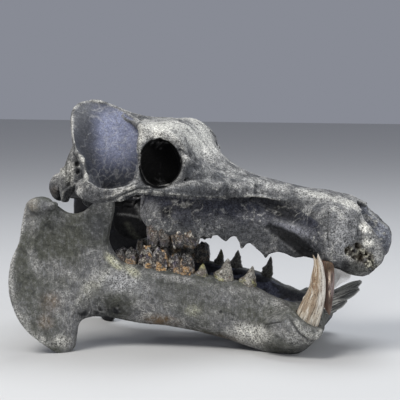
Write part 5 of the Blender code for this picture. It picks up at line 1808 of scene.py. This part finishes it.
IVORY = np.array([0.50, 0.43, 0.34])
IVORY_STREAK = np.array([0.25, 0.165, 0.100])
IVORY_PALE = np.array([0.78, 0.73, 0.64])
IVORY_DARK = np.array([0.055, 0.035, 0.022])
RUST = np.array([0.150, 0.062, 0.030])
RUST_PALE = np.array([0.75, 0.46, 0.28])
PEG_GREY = np.array([0.085, 0.088, 0.085])
PEG_PALE = np.array([0.60, 0.60, 0.56])
STUB_WHITE = np.array([0.86, 0.85, 0.84])
SPLINTER_GLOW = np.array([0.20, 0.13, 0.10])
SPLINTER_LILAC = np.array([0.30, 0.235, 0.225])
SPLINTER_HIGHLIGHT = np.array([1.0, 0.80, 0.62])
ENAMEL, IVORY_SLOT = "incisor_enamel", "tusk_ivory"

finishes = {
    "right": ivory_finish("streaked_ivory", IVORY, IVORY_STREAK, IVORY_PALE, IVORY_DARK),
    "left": ivory_finish("rusty_ivory", RUST, RUST * 0.45, RUST_PALE, IVORY_DARK * 0.6, 0.6, 0.85),
    "splinter": ivory_finish(
        "rusty_splinter", RUST * 0.8, RUST * 0.3, SPLINTER_GLOW, IVORY_DARK * 0.5, 0.8, 0.5
    ),
    "peg": ivory_finish(
        "grey_ribbed_enamel", PEG_GREY * 0.8, PEG_GREY * 0.3, PEG_PALE * 0.7, PEG_GREY * 0.1, 0.5, 0.95
    ),
    # White enamel for the flake and the stub, with a faint glow: painted light that keeps them white in
    # shade.
    "stub": ivory_finish(
        "white_enamel_painted_glow",
        STUB_WHITE,
        STUB_WHITE * 0.85,
        STUB_WHITE * 1.1,
        STUB_WHITE * 0.6,
        Emission_Color=(1.0, 0.98, 0.95),
        Emission_Strength=0.16,
    ),
}


def finish_front_tooth(name, rings, grain, tone, material, nodes):
    """A piece from rings of points, with its grain stored and its tone painted."""
    made = grown(name, rings)
    ends = np.array([grain[0].mean(0), grain[-1].mean(0)])
    places = np.vstack([grain.reshape(-1, 3), ends])
    made.data.attributes.new("grain", "FLOAT_VECTOR", "POINT").data.foreach_set(
        "vector", places.astype(np.float32).ravel()
    )
    skin = Skin(made)
    skin.keep("tone", tone(places, skin.points))
    made.data.materials.append(material)
    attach(made, "root")
    if nodes:
        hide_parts(*nodes)


def tusk_tone(pale, stain, base):
    """A tone of pale ivory along the front edge, stained behind and above, and darker towards the socket,
    worked out from each point's place along and round the tooth. On the left tusk the pale front edge is a
    painted highlight and the dark base painted shade."""

    def tone(places, points):
        front, _, along = places.T
        rough = cloud(points, 0.008, 3)
        shade = paint(np.tile(pale, (len(points), 1)), ease(0.80, 0.1, front + 0.2 * rough), stain)
        paint(shade, 0.8 * ease(0.48, 0.28, along + 0.1 * rough), base)
        flush = ease(0.55, 0.65, along) * ease(0.95, 0.85, along) * ease(0.4, -0.2, front)
        flush *= ease(0.1, 0.5, cloud(points, 0.0045, 5))
        return paint(shade, 0.7 * flush, stain * [0.55, 0.36, 0.24])

    return tone


FLAKE = ((334, 273), (336, 262), (351, 262), (351, 275), (348.5, 280), (341, 283.5), (333, 288))
STUB = ((330, 262), (339, 262), (338.5, 270), (336, 276), (332, 272))
SPLINTER = (
    (319, 262), (326, 261), (333, 264), (334.6, 277), (334.2, 288), (333, 298), (332, 306), (331, 311),
    (329.6, 315.5), (327, 312), (323, 305), (319, 296), (320, 280),
)  # fmt: skip
CHIP = ((302.9, 298), (304.8, 295.6), (309, 295.2), (309, 301), (305, 304), (302.8, 301.8))
FLAKE_TILT = (-0.0007, 0.0016)
LENS_GRAIN = np.array([0.02, 0.02, 0.10])


def lens(outline, middle, thick, tilt):
    """Rings of a thin flake on the right side: its outline on the side view, which shrinks towards its
    middle as it nears a face. It stands `middle` metres out, and leans by `tilt` metres a unit."""
    flat = np.array(outline, float)
    centre, count = flat.mean(0), len(flat)
    knots = np.column_stack([np.arange(-1, count + 2), np.vstack([flat[-1:], flat, flat[:2]])])
    rim = through(knots, np.linspace(0, count, 72, endpoint=False)) - centre
    rise = np.sin(np.linspace(-1.5, 1.5, 12))[:, None]
    across, down = centre[:, None, None] + rim.T[:, None] * (1 - 0.6 * rise**4)
    return at_side(across, down, middle + thick * rise + rim @ tilt) * [1, -1, 1]


def one_tone(colour):
    """The same tone on the whole piece."""

    def tone(places, points):
        return np.tile(colour, (len(points), 1))

    return tone


def splinter_tone(places, points):
    """Dark rust beside the tusk, a bright edge painted as a highlight, dusty lilac past it, and a lower end
    darkened as painted shade.
    """
    across, down = on_side_view(points).T
    rough = cloud(points, 0.005, 7)
    shade = np.tile(RUST * [0.36, 0.36, 0.34], (len(points), 1))
    paint(shade, 0.8 * ease(274, 268, down + rough) * ease(324, 326, across), OCHRE * 0.4)
    past = ease(329.5, 331.0, across + 0.5 * rough) * ease(272, 277, down)
    paint(shade, 0.8 * past, SPLINTER_LILAC)
    # A painted highlight along one edge.
    bright = ease(1.4, 0.5, np.abs(across - 329.3)) * ease(273, 277, down)
    paint(shade, bright, SPLINTER_HIGHLIGHT)
    # Painted shade darkens the lower end.
    return paint(shade, 0.9 * ease(294, 299, down + rough), RUST * 0.35)


stub_tone = one_tone(RUST_PALE * [0.8, 1.0, 1.2])
for name, outline, middle, thick, tilt, tone, finish, slot in (
    ("upper_incisor_flake", FLAKE, -0.012, 0.0030, FLAKE_TILT, one_tone(STUB_WHITE), "stub", ENAMEL),
    ("upper_incisor_stub", STUB, -0.034, 0.0050, (0, 0), stub_tone, "stub", ENAMEL),
    ("tusk_splinter_right", SPLINTER, 0.094, 0.0055, (0, 0), splinter_tone, "splinter", IVORY_SLOT),
    ("tusk_chip_right", CHIP, 0.095, 0.0040, (0, 0), one_tone(IVORY_PALE), "right", IVORY_SLOT),
):
    rings = lens(outline, middle, thick, tilt)
    finish_front_tooth(name, rings, rings / LENS_GRAIN, tone, finishes[finish], [])


def peg_tone(places, points):
    """Grey enamel, with a pale edge along the top and the underside and a pale end, painted as highlights."""
    edge = np.maximum(ease(0.55, 0.80, np.abs(places[:, 1])), ease(0.93, 1.0, places[:, 2]))
    # The pale edges and the end are painted highlights.
    return paint(np.tile(PEG_GREY, (len(points), 1)), 0.9 * edge, PEG_PALE)


TUSK_NOTCH, TUSK_RIBS = 0.011, 0.020
PEG_NOTCH, PEG_RIBS = 0.002, 0.035
for side, way in SIDES:
    flip = np.array([1, way, 1])
    rings, grain = blade(tusk_stations(side), (1, 0, 0), TUSK_NOTCH, TUSK_RIBS, 2.0 + way)
    near = (IVORY_PALE, IVORY * [0.80, 0.68, 0.54], IVORY_PALE * [0.90, 0.85, 0.76])
    # On the left tusk the pale front edge is a painted highlight and the dark base painted shade.
    tone = tusk_tone(*(near if side == "right" else (RUST_PALE, RUST, RUST * 0.4)))
    finish_front_tooth(
        "tusk_ivory_" + side, rings * flip, grain, tone, finishes[side], ["lower_tusk_" + side]
    )
    for number in (0, 1):
        stations, seed = incisor_stations(number, side), 5.0 + number + way
        rings, grain = blade(stations, (0, 1, 0), PEG_NOTCH, PEG_RIBS, seed, 60, 40)
        finish_front_tooth(
            f"incisor_{number + 1}_{side}",
            rings * flip,
            grain,
            peg_tone,
            finishes["peg"],
            [f"lower_incisor_{side}_{number + 1}"],
        )


# ----------------------------------------------------------------------------------------------- stage
# A plain pale floor of matte paper, and three soft lamps: the key high on the near side behind the
# skull, one low in front of the muzzle, and one above on the far side.
floor = bpy.data.objects.new("studio_floor", bpy.data.meshes.new("studio_floor"))
FLOOR_REACH = 6.0
floor.data.from_pydata(
    [(x, y, 0.0) for x, y in ((-1, -1), (1, -1), (1, 1), (-1, 1))], [], [(0, 1, 2, 3)]
)
floor.data.transform(((FLOOR_REACH, 0, 0, 0), (0, FLOOR_REACH, 0, 0), (0, 0, 1, 0), (0, 0, 0, 1)))
scene.collection.objects.link(floor)
paper = Finish("pale_floor")
floor.data.materials.append(
    paper.done((0.60, 0.60, 0.59), 0.9, paper.bump(paper.noise(paper.place(), 40.0), 0.05, 0.001))
)

world = bpy.data.worlds.new("studio")
scene.world = world
world.use_nodes = True
world.node_tree.nodes["Background"].inputs["Color"].default_value = (0.82, 0.86, 1.0, 1.0)
world.node_tree.nodes["Background"].inputs["Strength"].default_value = 0.30
for name, place, size, power, colour in (
    ("key_light", (-0.9, -1.5, 2.2), 1.1, 52, (1.0, 0.98, 0.95)),
    ("front_light", (2.0, -1.0, 1.2), 1.4, 16, (0.95, 0.97, 1.0)),
    ("top_light", (0.3, 0.7, 2.4), 1.4, 34, (0.9, 0.94, 1.0)),
):
    lamp = bpy.data.objects.new(name, bpy.data.lights.new(name, "AREA"))
    lamp.data.energy, lamp.data.size, lamp.data.color = power, size, colour
    lamp.location = place
    lamp.rotation_euler = (Vector((0, 0, 0.2)) - Vector(place)).to_track_quat("-Z", "Y").to_euler()
    scene.collection.objects.link(lamp)
scene.view_settings.view_transform = "Standard"
